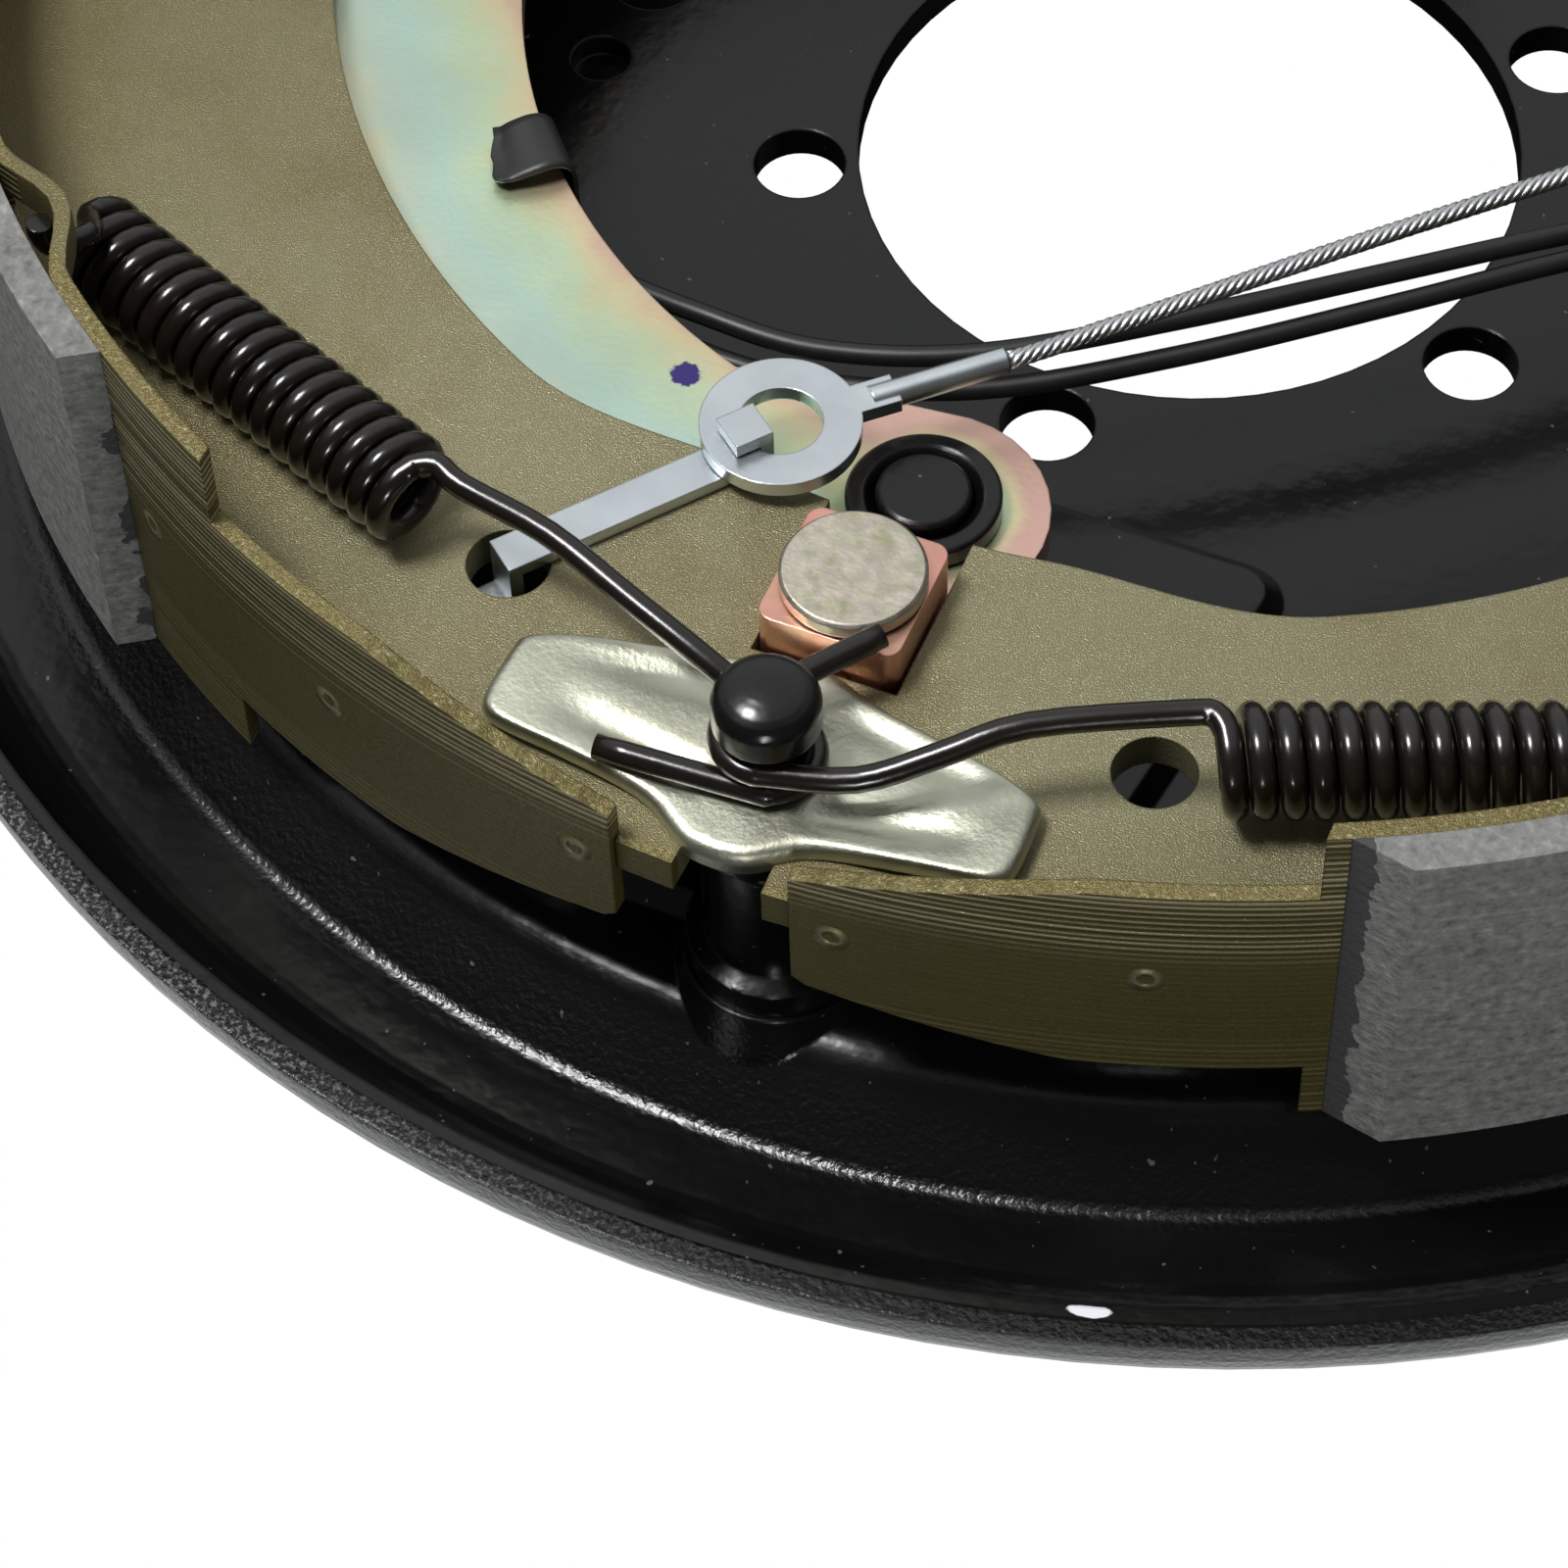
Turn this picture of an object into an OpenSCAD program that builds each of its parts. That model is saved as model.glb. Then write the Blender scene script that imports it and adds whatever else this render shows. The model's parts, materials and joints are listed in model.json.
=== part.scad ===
// Electric drum brake assembly for a trailer wheel, lying on its backing plate.
// Origin at the centre of the hub hole on the plate's upper face, +Z towards the hub,
// +Y towards the anchor post, +X towards the primary shoe.

/* [Backing plate] */
// Thickness of the pressed plate
plate_t = 4.4; // [3:0.1:6]
// Diameter of the hub hole
hub_hole_d = 82.6; // [70:0.1:90]
// Diameter of the circle that the flange bolts lie on
bolt_circle_d = 97.4; // [95:0.1:105]
// Diameter of one bolt hole
bolt_hole_d = 11.5; // [9:0.1:12]
// Angle from one bolt hole to the next, counted from the anchor post
bolt_step = 64.5; // [58:0.5:68]
// Distance from the outer rim in to where the flat centre turns down
shoulder_inset = 35.5; // [33:0.5:38]
// Distance from the outer rim in to the floor of the channel
channel_inset = 21; // [20:0.5:23]
// Depth of the outer channel below the flat centre
channel_depth = 8.7; // [6:0.1:11]
// Outer radius of the upturned rim
rim_r = 172.5; // [171:0.5:180]
// Height of the rim's edge above the flat centre
rim_top = 1.3; // [0:0.1:3]
// Inside radius of the rim's bend
rim_bend_r = 9; // [6:0.5:10]
// Height of the raised pad under the posts
pad_h = 2.6; // [1.5:0.1:4]

/* [Shoes] */
// Outer radius of the friction linings
lining_r = 151; // [149:0.5:153]
// Thickness of a lining
lining_t = 4.4; // [3:0.1:6]
// Width of a lining
lining_w = 50.8; // [46:0.1:54]
// Thickness of a shoe table
table_t = 2; // [1.6:0.1:3]
// Thickness of a shoe web
web_t = 4.8; // [4:0.1:6]
// Height of the middle of the webs above the plate
web_mid = 32; // [31:0.1:33]
// Width of the narrow part of a table, near the anchor
narrow_w = 31.4; // [26:0.2:36]
// Width of a table at its very end
tip_w = 19; // [14:0.5:24]
// Angle by which both shoes stand off the anchor line, towards the primary side
shoe_shift = 0.7; // [0:0.1:0.8]
// Depth of a web, from its inner edge to the table
web_depth = 40.4; // [36:0.2:42]
// Angle from the anchor line to the end of the primary lining
primary_lining_start = 33.8; // [32:0.1:40]
// Angle from the anchor line to the end of the secondary lining
secondary_lining_start = 25.8; // [25.5:0.1:34]
// Angle that the primary lining covers
primary_lining_arc = 112; // [90:1:115]
// Angle that the secondary lining covers
secondary_lining_arc = 122; // [95:1:124]

/* [Anchor and guide] */
// Distance from the hub centre to the anchor post
anchor_y = 131.5; // [130:0.5:132]
// Radius of the anchor post where the webs bear on it
anchor_r = 9.4; // [8:0.1:10]
// Radius of the anchor post's head
anchor_head_r = 5.9; // [5.5:0.1:7]
// Thickness of the shoe guide plate
guide_t = 2; // [1.5:0.1:2.5]
// Half the length of the shoe guide plate
guide_half = 30.6; // [28:0.2:31]

/* [Lever] */
// Distance from the hub centre to the lever's pivot
pivot_y = 88; // [86:0.5:90]
// Distance from the hub centre to the cam block
block_y = 108; // [107.5:0.5:109]
// Side of the square cam block
block_side = 16.4; // [15:0.1:18]
// Thickness of the actuating lever
lever_t = 4.4; // [3.5:0.1:5]
// Inner radius of the lever's bow
lever_inner_r = 81.5; // [80:0.5:84]
// Width of the lever's bow
lever_bow_w = 26.5; // [20:0.5:28]
// Radius of the block pin's round head
block_head_r = 8.1; // [6:0.1:8.2]
// Radius of the pivot post's flat head
pivot_head_r = 5.4; // [4:0.1:6]
// Outer radius of the dark ring round the pivot post
pivot_ring_r = 8.8; // [8:0.1:9.5]

/* [Springs] */
// Outer diameter of a return spring's coil
coil_d = 12.7; // [11.5:0.1:12.7]
// Diameter of the return springs' wire
wire_d = 2.9; // [2.4:0.1:2.9]
// Turns in a return spring
coil_turns = 17; // [14:1:17]

/* [Adjuster] */
// Distance from the hub centre to the adjuster screw
adjuster_y = 127; // [126:0.5:127.5]
// Outer radius of the star wheel
star_r = 12.5; // [11:0.5:13]
// Teeth on the star wheel
star_teeth = 22; // [16:1:26]
// Radius of the adjuster's sleeve
sleeve_r = 8; // [7.5:0.1:8.5]
// Radius of the adjuster's screw
screw_r = 5; // [4.5:0.1:5.5]

/* [Magnet] */
// Length of the oval magnet
magnet_len = 58; // [50:1:62]
// Width of the oval magnet
magnet_w = 36; // [30:1:37]
// Height of the magnet's coil body
magnet_h = 19; // [15:0.5:20]
// Distance from the hub centre to the magnet
magnet_r = 84; // [82:0.5:86]
// Angle of the magnet round the hub, from the +X direction
magnet_angle = -76; // [-80:1:-74]

/* [Cable and leads] */
// Diameter of the twisted adjuster cable
cable_d = 2.4; // [2:0.1:3]
// Diameter of one magnet lead
lead_d = 2.6; // [2:0.1:3]
// Outer diameter of the cable's eyelet
eyelet_d = 18.2; // [17:0.1:19]
// Diameter of the eyelet's hole
eyelet_hole_d = 9.5; // [8.5:0.1:10]

/* [Hidden] */
$fn = 96;
hull_fn = 32;
wire_fn = 6;

// Clearances that the sizes below share
slide_gap = 0.3;
fit_gap = 0.05;

// Heights above the plate
web_bottom = web_mid - web_t / 2;
web_top = web_mid + web_t / 2;
lever_top = web_bottom - 2 * slide_gap;
lever_bottom = lever_top - lever_t;
guide_bottom = web_top + slide_gap;
guide_top = guide_bottom + guide_t;
wire_gap = 0.15;
wire_low_z = guide_top + wire_d / 2 + wire_gap;
wire_high_z = wire_low_z + wire_d + 2 * wire_gap;
head_bottom = wire_high_z + wire_d / 2 + 4 * slide_gap;
head_side_h = 3.4;
head_dome_h = 3;
coil_z = web_top + coil_d / 2 + 1;

// Radii of the shoes
table_r = lining_r - lining_t;
web_r = table_r - table_t;
web_inner_r = web_r - web_depth;
notch_gap = slide_gap;
web_hole_x = 37.7;
web_hole_y = 115.9;
web_hole_r = 4.7;
hold_down_r = 125;
hold_down_angle = 4;
hold_down_hole_r = 4.5;

shoe_hole_x = 50;
shoe_hole_y = 112;
shoe_hole_r = 3;

// Angles of the shoes, counted from the anchor line
table_start = 4;
tip_corner = 4.6;
tip_flat = 5.8;
taper_low = 15.7;
taper_high = 16.2;
table_step = 25.5;
table_end = 162;
web_end_x = 38;
web_tip_end = 2;
web_tip_h = 1.3;

// Heights of the narrow part's middle and of the tip's middle, below the web's middle
narrow_drop = 0.8;
tip_drop = 2;

// The tab bent in from the edge of a table for its return spring
hook_angle = 42.7;
hook_half_angle = 4.5;
hook_depth = 4.2;
hook_strip_h = 5;
hook_slot_h = 6;

// Bends of the plate's section
shoulder_bend_r = 8;
shoulder_r = rim_r - shoulder_inset;
channel_start_r = rim_r - channel_inset;
channel_bend_r = 3;
rim_centre_r = rim_r - plate_t - rim_bend_r;
bend_steps = 10;

// Sizes of the posts
post_flange_r = 10;
post_flange_h = 4;
post_shaft_r = 8;
post_neck_r = 3.4;
post_tail_r = 7.2;
post_tail_h = 3;
boss_r = 13;
boss_drop = 4.2;
pivot_shank_r = 6.5;
pin_shank_r = 4.5;
block_top = web_top + 5.5;
block_head_t = 1.9;
block_neck_r = 5.6;
block_neck_h = 0.15;

// Link between the primary web and the cable's eyelet
eyelet_x = 16.5;
eyelet_y = 89.3;
eyelet_t = 1.9;
eyelet_z = web_top + 2.2;
link_w = 4.8;
link_t = 1.6;
ferrule_r = 1.6;
ferrule_len = 16;

function pol(r, a) = [r * cos(a), r * sin(a)];
function unit(v) = v / norm(v);

// Directions along a path and a side vector that turns as little as it can
function tangents(p) = [for (i = [0:len(p) - 1])
    unit(p[min(i + 1, len(p) - 1)] - p[max(i - 1, 0)])];
function across(n, t) = unit(n - (n * t) * t);
function side_vectors(t) = [for (i = 0, n = across([0.1, 0.2, 1], t[0]); i < len(t);
    i = i + 1, n = i < len(t) ? across(n, t[i]) : n) n];

// A round wire or cord swept along a path
module swept_tube(path, d, sides = wire_fn) {
    t = tangents(path);
    n = side_vectors(t);
    rings = len(path);
    points = [for (i = [0:rings - 1], k = [0:sides - 1])
        path[i] + d / 2 * (n[i] * cos(360 * k / sides) + cross(t[i], n[i]) * sin(360 * k / sides))];
    walls = [for (i = [0:rings - 2], k = [0:sides - 1], half = [0, 1])
        let (a = i * sides + k, b = i * sides + (k + 1) % sides)
        half == 0 ? [a, b, b + sides] : [a, b + sides, a + sides]];
    ends = [[for (k = [sides - 1:-1:0]) k], [for (k = [0:sides - 1]) (rings - 1) * sides + k]];
    polyhedron(points, concat(walls, ends), convexity = 10);
}

// A smooth path through hand-chosen points
function spline_point(a, b, c, d, u) = 0.5 * ((2 * b) + (c - a) * u
    + (2 * a - 5 * b + 4 * c - d) * u * u + (3 * b - a - 3 * c + d) * u * u * u);
function smooth_path(p, steps) = concat([for (i = [0:len(p) - 2], s = [0:steps - 1])
    spline_point(p[max(i - 1, 0)], p[i], p[i + 1], p[min(i + 2, len(p) - 1)], s / steps)],
    [p[len(p) - 1]]);

// Whole degrees between two angles, with the angles themselves, so that arcs share their points
function arc_angles(a, b) = concat([a], [for (k = [floor(a) + 1:ceil(b) - 1]) k], [b]);
function backwards(v) = [for (i = [len(v) - 1:-1:0]) v[i]];

// A ring-shaped sector between two radii and two angles
module sector(r_in, r_out, a, b) {
    angles = arc_angles(a, b);
    polygon(concat([for (k = angles) pol(r_out, k)], [for (k = backwards(angles)) pol(r_in, k)]));
}

// Cross-section of the pressed plate, from the hub hole to the rim
plate_upper = concat(
    [[hub_hole_d / 2, 0]],
    [for (i = [0:bend_steps]) [shoulder_r + shoulder_bend_r * sin(45 * i / bend_steps),
        -shoulder_bend_r * (1 - cos(45 * i / bend_steps))]],
    [for (i = [0:bend_steps]) [channel_start_r - channel_bend_r * sin(45 * (1 - i / bend_steps)),
        -channel_depth + channel_bend_r * (1 - cos(45 * (1 - i / bend_steps)))]],
    [for (i = [0:bend_steps]) [rim_centre_r + rim_bend_r * sin(90 * i / bend_steps),
        -channel_depth + rim_bend_r * (1 - cos(90 * i / bend_steps))]],
    [[rim_r - plate_t, rim_top], [rim_r, rim_top]]);
rim_under_r = rim_bend_r + plate_t;
plate_lower = concat(
    [for (i = [bend_steps:-1:0]) [rim_centre_r + rim_under_r * sin(90 * i / bend_steps),
        -channel_depth - plate_t + rim_under_r * (1 - cos(90 * i / bend_steps))]],
    [[channel_start_r - 2, -channel_depth - plate_t],
     [shoulder_r + 2, -plate_t], [hub_hole_d / 2, -plate_t]]);

// The raised pad under the two posts, with sloped sides
pad_half = 36;
pad_y = 60;
pad_slope = 2.5;
pad_corner = 6;
module pad_outline(inset) {
    hull() for (s = [-1, 1]) {
        translate([s * (pad_half - pad_corner), pad_y + pad_corner])
            circle(r = pad_corner - inset, $fn = hull_fn);
        translate([s * (pad_half - pad_corner - 8), shoulder_r - pad_corner - 6])
            circle(r = pad_corner - inset, $fn = hull_fn);
    }
}
module plate_pad() {
    hull() {
        translate([0, 0, -1]) linear_extrude(1) pad_outline(0);
        linear_extrude(pad_h) pad_outline(pad_slope);
    }
}

// Places that the plate is pierced for, besides the hub and its bolts
grommet_pos = [-80, -24];
grommet_hole_r = 6;
plug_x = 24;
plug_y = 116;
plug_len = 26;
plug_w = 9;
pocket_pos = [[74.4, 13.7, 3.8], [73.9, -1.7, 5.6]];
pocket_floor = 1.4;
tail_hole_r = post_tail_r - 2;
drill_h = 10 * plate_t;
pin_hole_r = 3;

module slot_shape(len, w) {
    hull() for (s = [-1, 1]) translate([s * (len - w) / 2, 0]) circle(d = w, $fn = hull_fn);
}

module drilled(x, y, r) translate([x, y, -drill_h / 2]) cylinder(r = r, h = drill_h, $fn = 48);
module backing_plate() color("#141416") difference() {
    union() {
        rotate_extrude($fn = 180) polygon(concat(plate_upper, plate_lower));
        plate_pad();
        translate([0, anchor_y, -boss_drop])
            cylinder(r1 = boss_r, r2 = post_flange_r + 0.5, h = boss_drop + pad_h);
    }
    for (k = [-2:2]) rotate(90 + k * bolt_step) drilled(bolt_circle_d / 2, 0, bolt_hole_d / 2);
    for (p = pocket_pos) translate([p.x, p.y, pocket_floor - plate_t])
        cylinder(r = p[2], h = drill_h, $fn = 48);
    drilled(grommet_pos.x, grommet_pos.y, grommet_hole_r);
    for (s = [-1, 1]) translate([s * plug_x, -plug_y, -drill_h / 2])
        linear_extrude(drill_h) slot_shape(plug_len, plug_w);
    drilled(0, anchor_y, tail_hole_r + fit_gap);
    drilled(0, pivot_y, pin_shank_r + fit_gap);
    for (s = [-1, 1]) rotate(90 - s * (90 - hold_down_angle)) drilled(hold_down_r, 0, pin_hole_r);
}

module anchor_post() color("#1a1a1c") translate([0, anchor_y, 0]) rotate_extrude()
    polygon(concat([[0, -plate_t - post_tail_h], [post_tail_r, -plate_t - post_tail_h],
        [post_tail_r, -plate_t], [tail_hole_r, -plate_t], [tail_hole_r, pad_h],
        [post_flange_r, pad_h], [post_flange_r, pad_h + post_flange_h],
        [post_shaft_r, pad_h + post_flange_h + 1], [post_shaft_r, web_bottom - 3],
        [anchor_r, web_bottom - 2], [anchor_r, web_top], [post_neck_r, web_top],
        [post_neck_r, head_bottom], [anchor_head_r - 0.4, head_bottom], [anchor_head_r, head_bottom + 0.4],
        [anchor_head_r, head_bottom + head_side_h]],
        [for (i = [1:8]) [anchor_head_r * cos(90 * i / 8),
            head_bottom + head_side_h + head_dome_h * sin(90 * i / 8)]]));

pivot_head_h = 3.7;
pivot_ring_h = 2.7;
module lever_pivot_post() color("#1a1a1c") translate([0, pivot_y, 0]) rotate_extrude()
    polygon([[0, -plate_t - 2.5], [7, -plate_t - 2.5], [7, -plate_t], [pin_shank_r, -plate_t],
        [pin_shank_r, pad_h], [pivot_ring_r + 1, pad_h], [pivot_ring_r + 1, lever_bottom - slide_gap],
        [pivot_shank_r, lever_bottom - slide_gap], [pivot_shank_r, lever_top + slide_gap],
        [pivot_head_r, lever_top + slide_gap], [pivot_head_r, lever_top + pivot_head_h - 0.5],
        [pivot_head_r - 0.5, lever_top + pivot_head_h], [0, lever_top + pivot_head_h]]);

module pivot_ring() color("#1d1d20") translate([0, pivot_y, lever_top + slide_gap])
    rotate_extrude() polygon([[pivot_head_r + fit_gap, 0], [pivot_ring_r - 0.3, 0],
        [pivot_ring_r, 0.3], [pivot_ring_r, pivot_ring_h - 0.4], [pivot_ring_r - 0.4, pivot_ring_h],
        [pivot_head_r + 1.4, pivot_ring_h], [pivot_head_r + fit_gap, pivot_ring_h - 1.4]]);

// The lever: a bow under the primary web with an eye at the pivot and a pad for the magnet
lever_eye_r = 14.2;
lever_outer_r = lever_inner_r + lever_bow_w;
bow_r = lever_inner_r + lever_bow_w / 2;
bow_half = lever_bow_w / 2;
bow_end = -58;
magnet_pos = pol(magnet_r, magnet_angle);
module lever_outline() {
    sector(lever_inner_r, lever_outer_r, bow_end, 72);
    hull() {
        translate([0, pivot_y]) circle(r = lever_eye_r, $fn = hull_fn);
        translate([0, block_y]) circle(r = 9.6, $fn = hull_fn);
        rotate(72) translate([bow_r, 0]) circle(r = bow_half, $fn = hull_fn);
    }
    hull() {
        rotate(bow_end) translate([bow_r, 0]) circle(r = bow_half, $fn = hull_fn);
        translate(magnet_pos) circle(r = bow_half, $fn = hull_fn);
    }
}
magnet_post_r = 5;
module actuating_lever() color("#c5c88d") translate([0, 0, lever_bottom]) difference() {
    linear_extrude(lever_t) lever_outline();
    translate([0, pivot_y, -1]) cylinder(r = pivot_shank_r + fit_gap, h = lever_t + 2);
    translate([0, block_y, -1]) cylinder(r = pin_shank_r, h = lever_t + 2);
    translate([magnet_pos.x, magnet_pos.y, -1]) cylinder(r = magnet_post_r - 1, h = lever_t + 2);
}

module rounded_square(side, corner) {
    hull() for (sx = [-1, 1], sy = [-1, 1])
        translate([sx * (side / 2 - corner), sy * (side / 2 - corner)]) circle(r = corner, $fn = hull_fn);
}
module cam_block() color("#c98f7d") translate([0, block_y, 0]) difference() {
    translate([0, 0, lever_top + slide_gap])
        linear_extrude(block_top - lever_top - slide_gap) rounded_square(block_side, 1.8);
    cylinder(r = pin_shank_r + fit_gap, h = block_top + 1);
}
module block_pin() color("#b9b47e") translate([0, block_y, 0]) rotate_extrude()
    polygon([[0, lever_bottom - 2], [pin_shank_r + 1.5, lever_bottom - 2], [pin_shank_r + 1.5, lever_bottom],
        [pin_shank_r, lever_bottom], [pin_shank_r, block_top + slide_gap],
        [block_neck_r, block_top + slide_gap], [block_neck_r, block_top + slide_gap + block_neck_h],
        [block_head_r, block_top + slide_gap + block_neck_h],
        [block_head_r, block_top + slide_gap + block_neck_h + block_head_t - 0.4],
        [block_head_r - 0.4, block_top + slide_gap + block_neck_h + block_head_t],
        [0, block_top + slide_gap + block_neck_h + block_head_t]]);

// Guide plate: a bow-tie on the anchor post that keeps the two webs down. Its points are taken
// round from the middle of the near side, as parts of half the length and as offsets from the post
guide_shift = 1.2;
guide_half_points = [[0, 12.7], [0.11, 12.2], [0.2, 10.6], [0.29, 8.8], [0.43, 7.7], [0.66, 6.9],
    [0.88, 6.1], [0.97, 5.1], [1, 2.7], [0.995, -3.6], [0.975, -5.3], [0.91, -6.5], [0.78, -7.8],
    [0.52, -10], [0.26, -12.1], [0.1, -13.9], [0, -14.3]];
function guide_side(s) = [for (p = guide_half_points) [s * p.x * guide_half, p.y]];
guide_far = [for (i = [1:len(guide_half_points) - 2]) guide_side(-1)[i]];
guide_loop = concat(guide_side(1), backwards(guide_far));
module guide_outline() {
    n = len(guide_loop);
    polygon([for (i = [0:n - 1], k = [0:3]) spline_point(guide_loop[(i + n - 1) % n], guide_loop[i],
        guide_loop[(i + 1) % n], guide_loop[(i + 2) % n], k / 4)]);
}
module shoe_guide_plate() color("#cfcca4") translate([0, anchor_y, guide_bottom]) linear_extrude(guide_t)
    difference() {
        translate([guide_shift, 0]) guide_outline();
        circle(r = post_neck_r + slide_gap, $fn = 48);
    }

// Shoes: drawn on the +X side and mirrored for the secondary side.
// A shift turns a shoe's end towards or away from the anchor line
web_offset = [1.5, 4];
web_drop = 5.4;
web_drop_from = 62;
web_drop_to = 80;
function ease(u) = u < 0 ? 0 : u > 1 ? 1 : u * u * (3 - 2 * u);
function web_inner(a) = web_inner_r + web_offset.x * cos(a) - web_offset.y * sin(a)
    - web_drop * ease((a - web_drop_from) / (web_drop_to - web_drop_from));
function end_angle(shift) = 90 - table_start - shift;
module web_outline(shift) {
    tip = [end_angle(shift) + 0.1, 90 - web_tip_end];
    difference() {
        polygon(concat([for (k = arc_angles(90 - table_end, end_angle(shift))) pol(web_r, k)],
            [for (k = tip) pol(web_r + web_tip_h, k)],
            [pol(anchor_y, 90 - web_tip_end), [slide_gap, anchor_y], [slide_gap, web_inner(90)]],
            [for (k = backwards(arc_angles(90 - table_end, 89))) pol(web_inner(k), k)]));
        translate([-1, block_y - block_side])
            square([1 + block_side / 2 + slide_gap, 1.5 * block_side + 0.5]);
        translate([0, anchor_y]) circle(r = anchor_r + notch_gap);
        translate([web_hole_x, web_hole_y]) circle(r = web_hole_r, $fn = 48);
        rotate(hold_down_angle) translate([hold_down_r, 0]) circle(r = hold_down_hole_r, $fn = 48);
        translate([-1, -web_r]) square([web_end_x + 1, web_depth + 10]);
        translate([shoe_hole_x, -shoe_hole_y]) circle(r = shoe_hole_r, $fn = 48);
    }
}
module shoe_web(shift) translate([0, 0, web_bottom]) linear_extrude(web_t) web_outline(shift);

// Radius of the table's outer face in the tab's strip at one angle
function hook_r(a) = let (u = (a - (90 - hook_angle)) / hook_half_angle)
    abs(u) < 1 ? table_r - hook_depth * (0.5 + 0.5 * cos(180 * u)) : table_r;
hook_a0 = 90 - hook_angle - hook_half_angle;
hook_a1 = 90 - hook_angle + hook_half_angle;
module table_outline_with_tab(shift) {
    angles = concat(arc_angles(90 - table_end, hook_a0), arc_angles(hook_a0 + 0.5, hook_a1 - 0.5),
        arc_angles(hook_a1, end_angle(shift)));
    polygon(concat([for (k = angles) pol(hook_r(k), k)],
        [for (k = backwards(angles)) pol(hook_r(k) - table_t, k)]));
}
table_top = web_mid + lining_w / 2;
table_low = web_mid - lining_w / 2;
narrow_top = web_mid - narrow_drop + narrow_w / 2;
narrow_low = web_mid - narrow_drop - narrow_w / 2;
tip_top = web_mid - tip_drop + tip_w / 2;
tip_low = web_mid - tip_drop - tip_w / 2;
// What is cut off above and below the narrow end of a table, seen along the anchor line
module table_trim(shift) {
    function at_angle(a) = table_r * sin(a + shift);
    translate([0, table_r + 20, 0]) rotate([90, 0, 0]) linear_extrude(60) {
        polygon([[-1, tip_top], [at_angle(table_start), tip_top], [at_angle(taper_high), narrow_top],
            [at_angle(table_step), narrow_top], [at_angle(table_step), lining_w * 2], [-1, lining_w * 2]]);
        polygon([[-1, tip_low + 1.2], [at_angle(table_start), tip_low + 1.2], [at_angle(tip_corner), tip_low],
            [at_angle(tip_flat), tip_low - 0.4], [at_angle(taper_low), narrow_low],
            [at_angle(table_step), narrow_low], [at_angle(table_step), -1], [-1, -1]]);
    }
}
module shoe_table(shift) {
    slot_z = table_top - hook_strip_h - hook_slot_h;
    difference() {
        union() {
            translate([0, 0, table_low]) linear_extrude(slot_z - table_low)
                sector(web_r, table_r, 90 - table_end, end_angle(shift));
            translate([0, 0, slot_z]) linear_extrude(hook_slot_h) {
                sector(web_r, table_r, 90 - table_end, hook_a0);
                sector(web_r, table_r, hook_a1, end_angle(shift));
            }
            translate([0, 0, table_top - hook_strip_h]) linear_extrude(hook_strip_h)
                table_outline_with_tab(shift);
        }
        table_trim(shift);
    }
}
primary_bevel = 0.7;
secondary_bevel = 2.2;
module shoe_lining(start, span, bevel) {
    a1 = 90 - start;
    a0 = a1 - span;
    translate([0, 0, table_low]) linear_extrude(lining_w)
        polygon(concat([for (k = arc_angles(a0 + bevel, a1 - bevel)) pol(lining_r, k)],
            [for (k = backwards(arc_angles(a0, a1))) pol(table_r, k)]));
}
module primary_web() color("#7b7550") shoe_web(shoe_shift);
module primary_table() color("#6f6a46") shoe_table(shoe_shift);
module primary_lining() color("#5d5d5d")
    shoe_lining(primary_lining_start, primary_lining_arc, primary_bevel);
module secondary_web() color("#7b7550") mirror([1, 0, 0]) shoe_web(-shoe_shift);
module secondary_table() color("#6f6a46") mirror([1, 0, 0]) shoe_table(-shoe_shift);
module secondary_lining() color("#5d5d5d") mirror([1, 0, 0])
    shoe_lining(secondary_lining_start, secondary_lining_arc, secondary_bevel);

// Return springs: a hook round the table's tab, the coil, and an arm round the post's neck
coil_seg = 8;
coil_pitch = wire_d + 0.22;
coil_mid_r = (coil_d - wire_d) / 2;
coil_len = coil_turns * coil_pitch;
hook_r_out = hook_r(90 - hook_angle) + wire_d / 2 + slide_gap;
hook_z = table_top - hook_strip_h - wire_d / 2 - slide_gap;
function at(r, a, z) = [r * cos(a), r * sin(a), z];
// The hook's points for the primary side
hook_points = [at(hook_r_out, 90 - hook_angle, table_top - 2.6), at(hook_r_out, 90 - hook_angle, hook_z + 2),
    at(hook_r_out - 1, 90 - hook_angle, hook_z), at(hook_r_out - 5, 90 - hook_angle, hook_z - 0.4)];

// Points of a coil that ends at finish and runs along direction d, wound to the hand of its side
function coil_path(side, finish, d) = let (e = side * cross(d, [0, 0, 1]), n = coil_turns * coil_seg)
    [for (i = [0:n]) let (a = 90 + 360 * i / coil_seg)
        finish + d * (coil_pitch * i / coil_seg - coil_len) + coil_mid_r * (e * cos(a) + [0, 0, sin(a)])];

loop_r = post_neck_r + wire_d / 2 + wire_gap;
primary_coil_end = [48.2, 116.2, coil_z];
primary_coil_dir = unit([-49.3, 19.45, 0]);
primary_arm = [[45.6, 115.2, 47], [42, 116.5, 46.5], [31.2, 117.9, 45], [20.6, 121.3, 43.2],
    [10, 124.6, 41.2]];
primary_tail = [17.2, 137.7, wire_low_z + 0.5];
secondary_coil_end = [-45.6, 116.8, coil_z];
secondary_coil_dir = unit([49.1, 19.9, 0]);
secondary_arm = [[-43.8, 115.4, 47.1], [-40.8, 116.2, 47], [-26, 123.1, 46], [-18.4, 128.7, 44],
    [-11, 133.6, 42]];
secondary_tail = [-6.4, 115.4, wire_high_z + 1];

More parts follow.
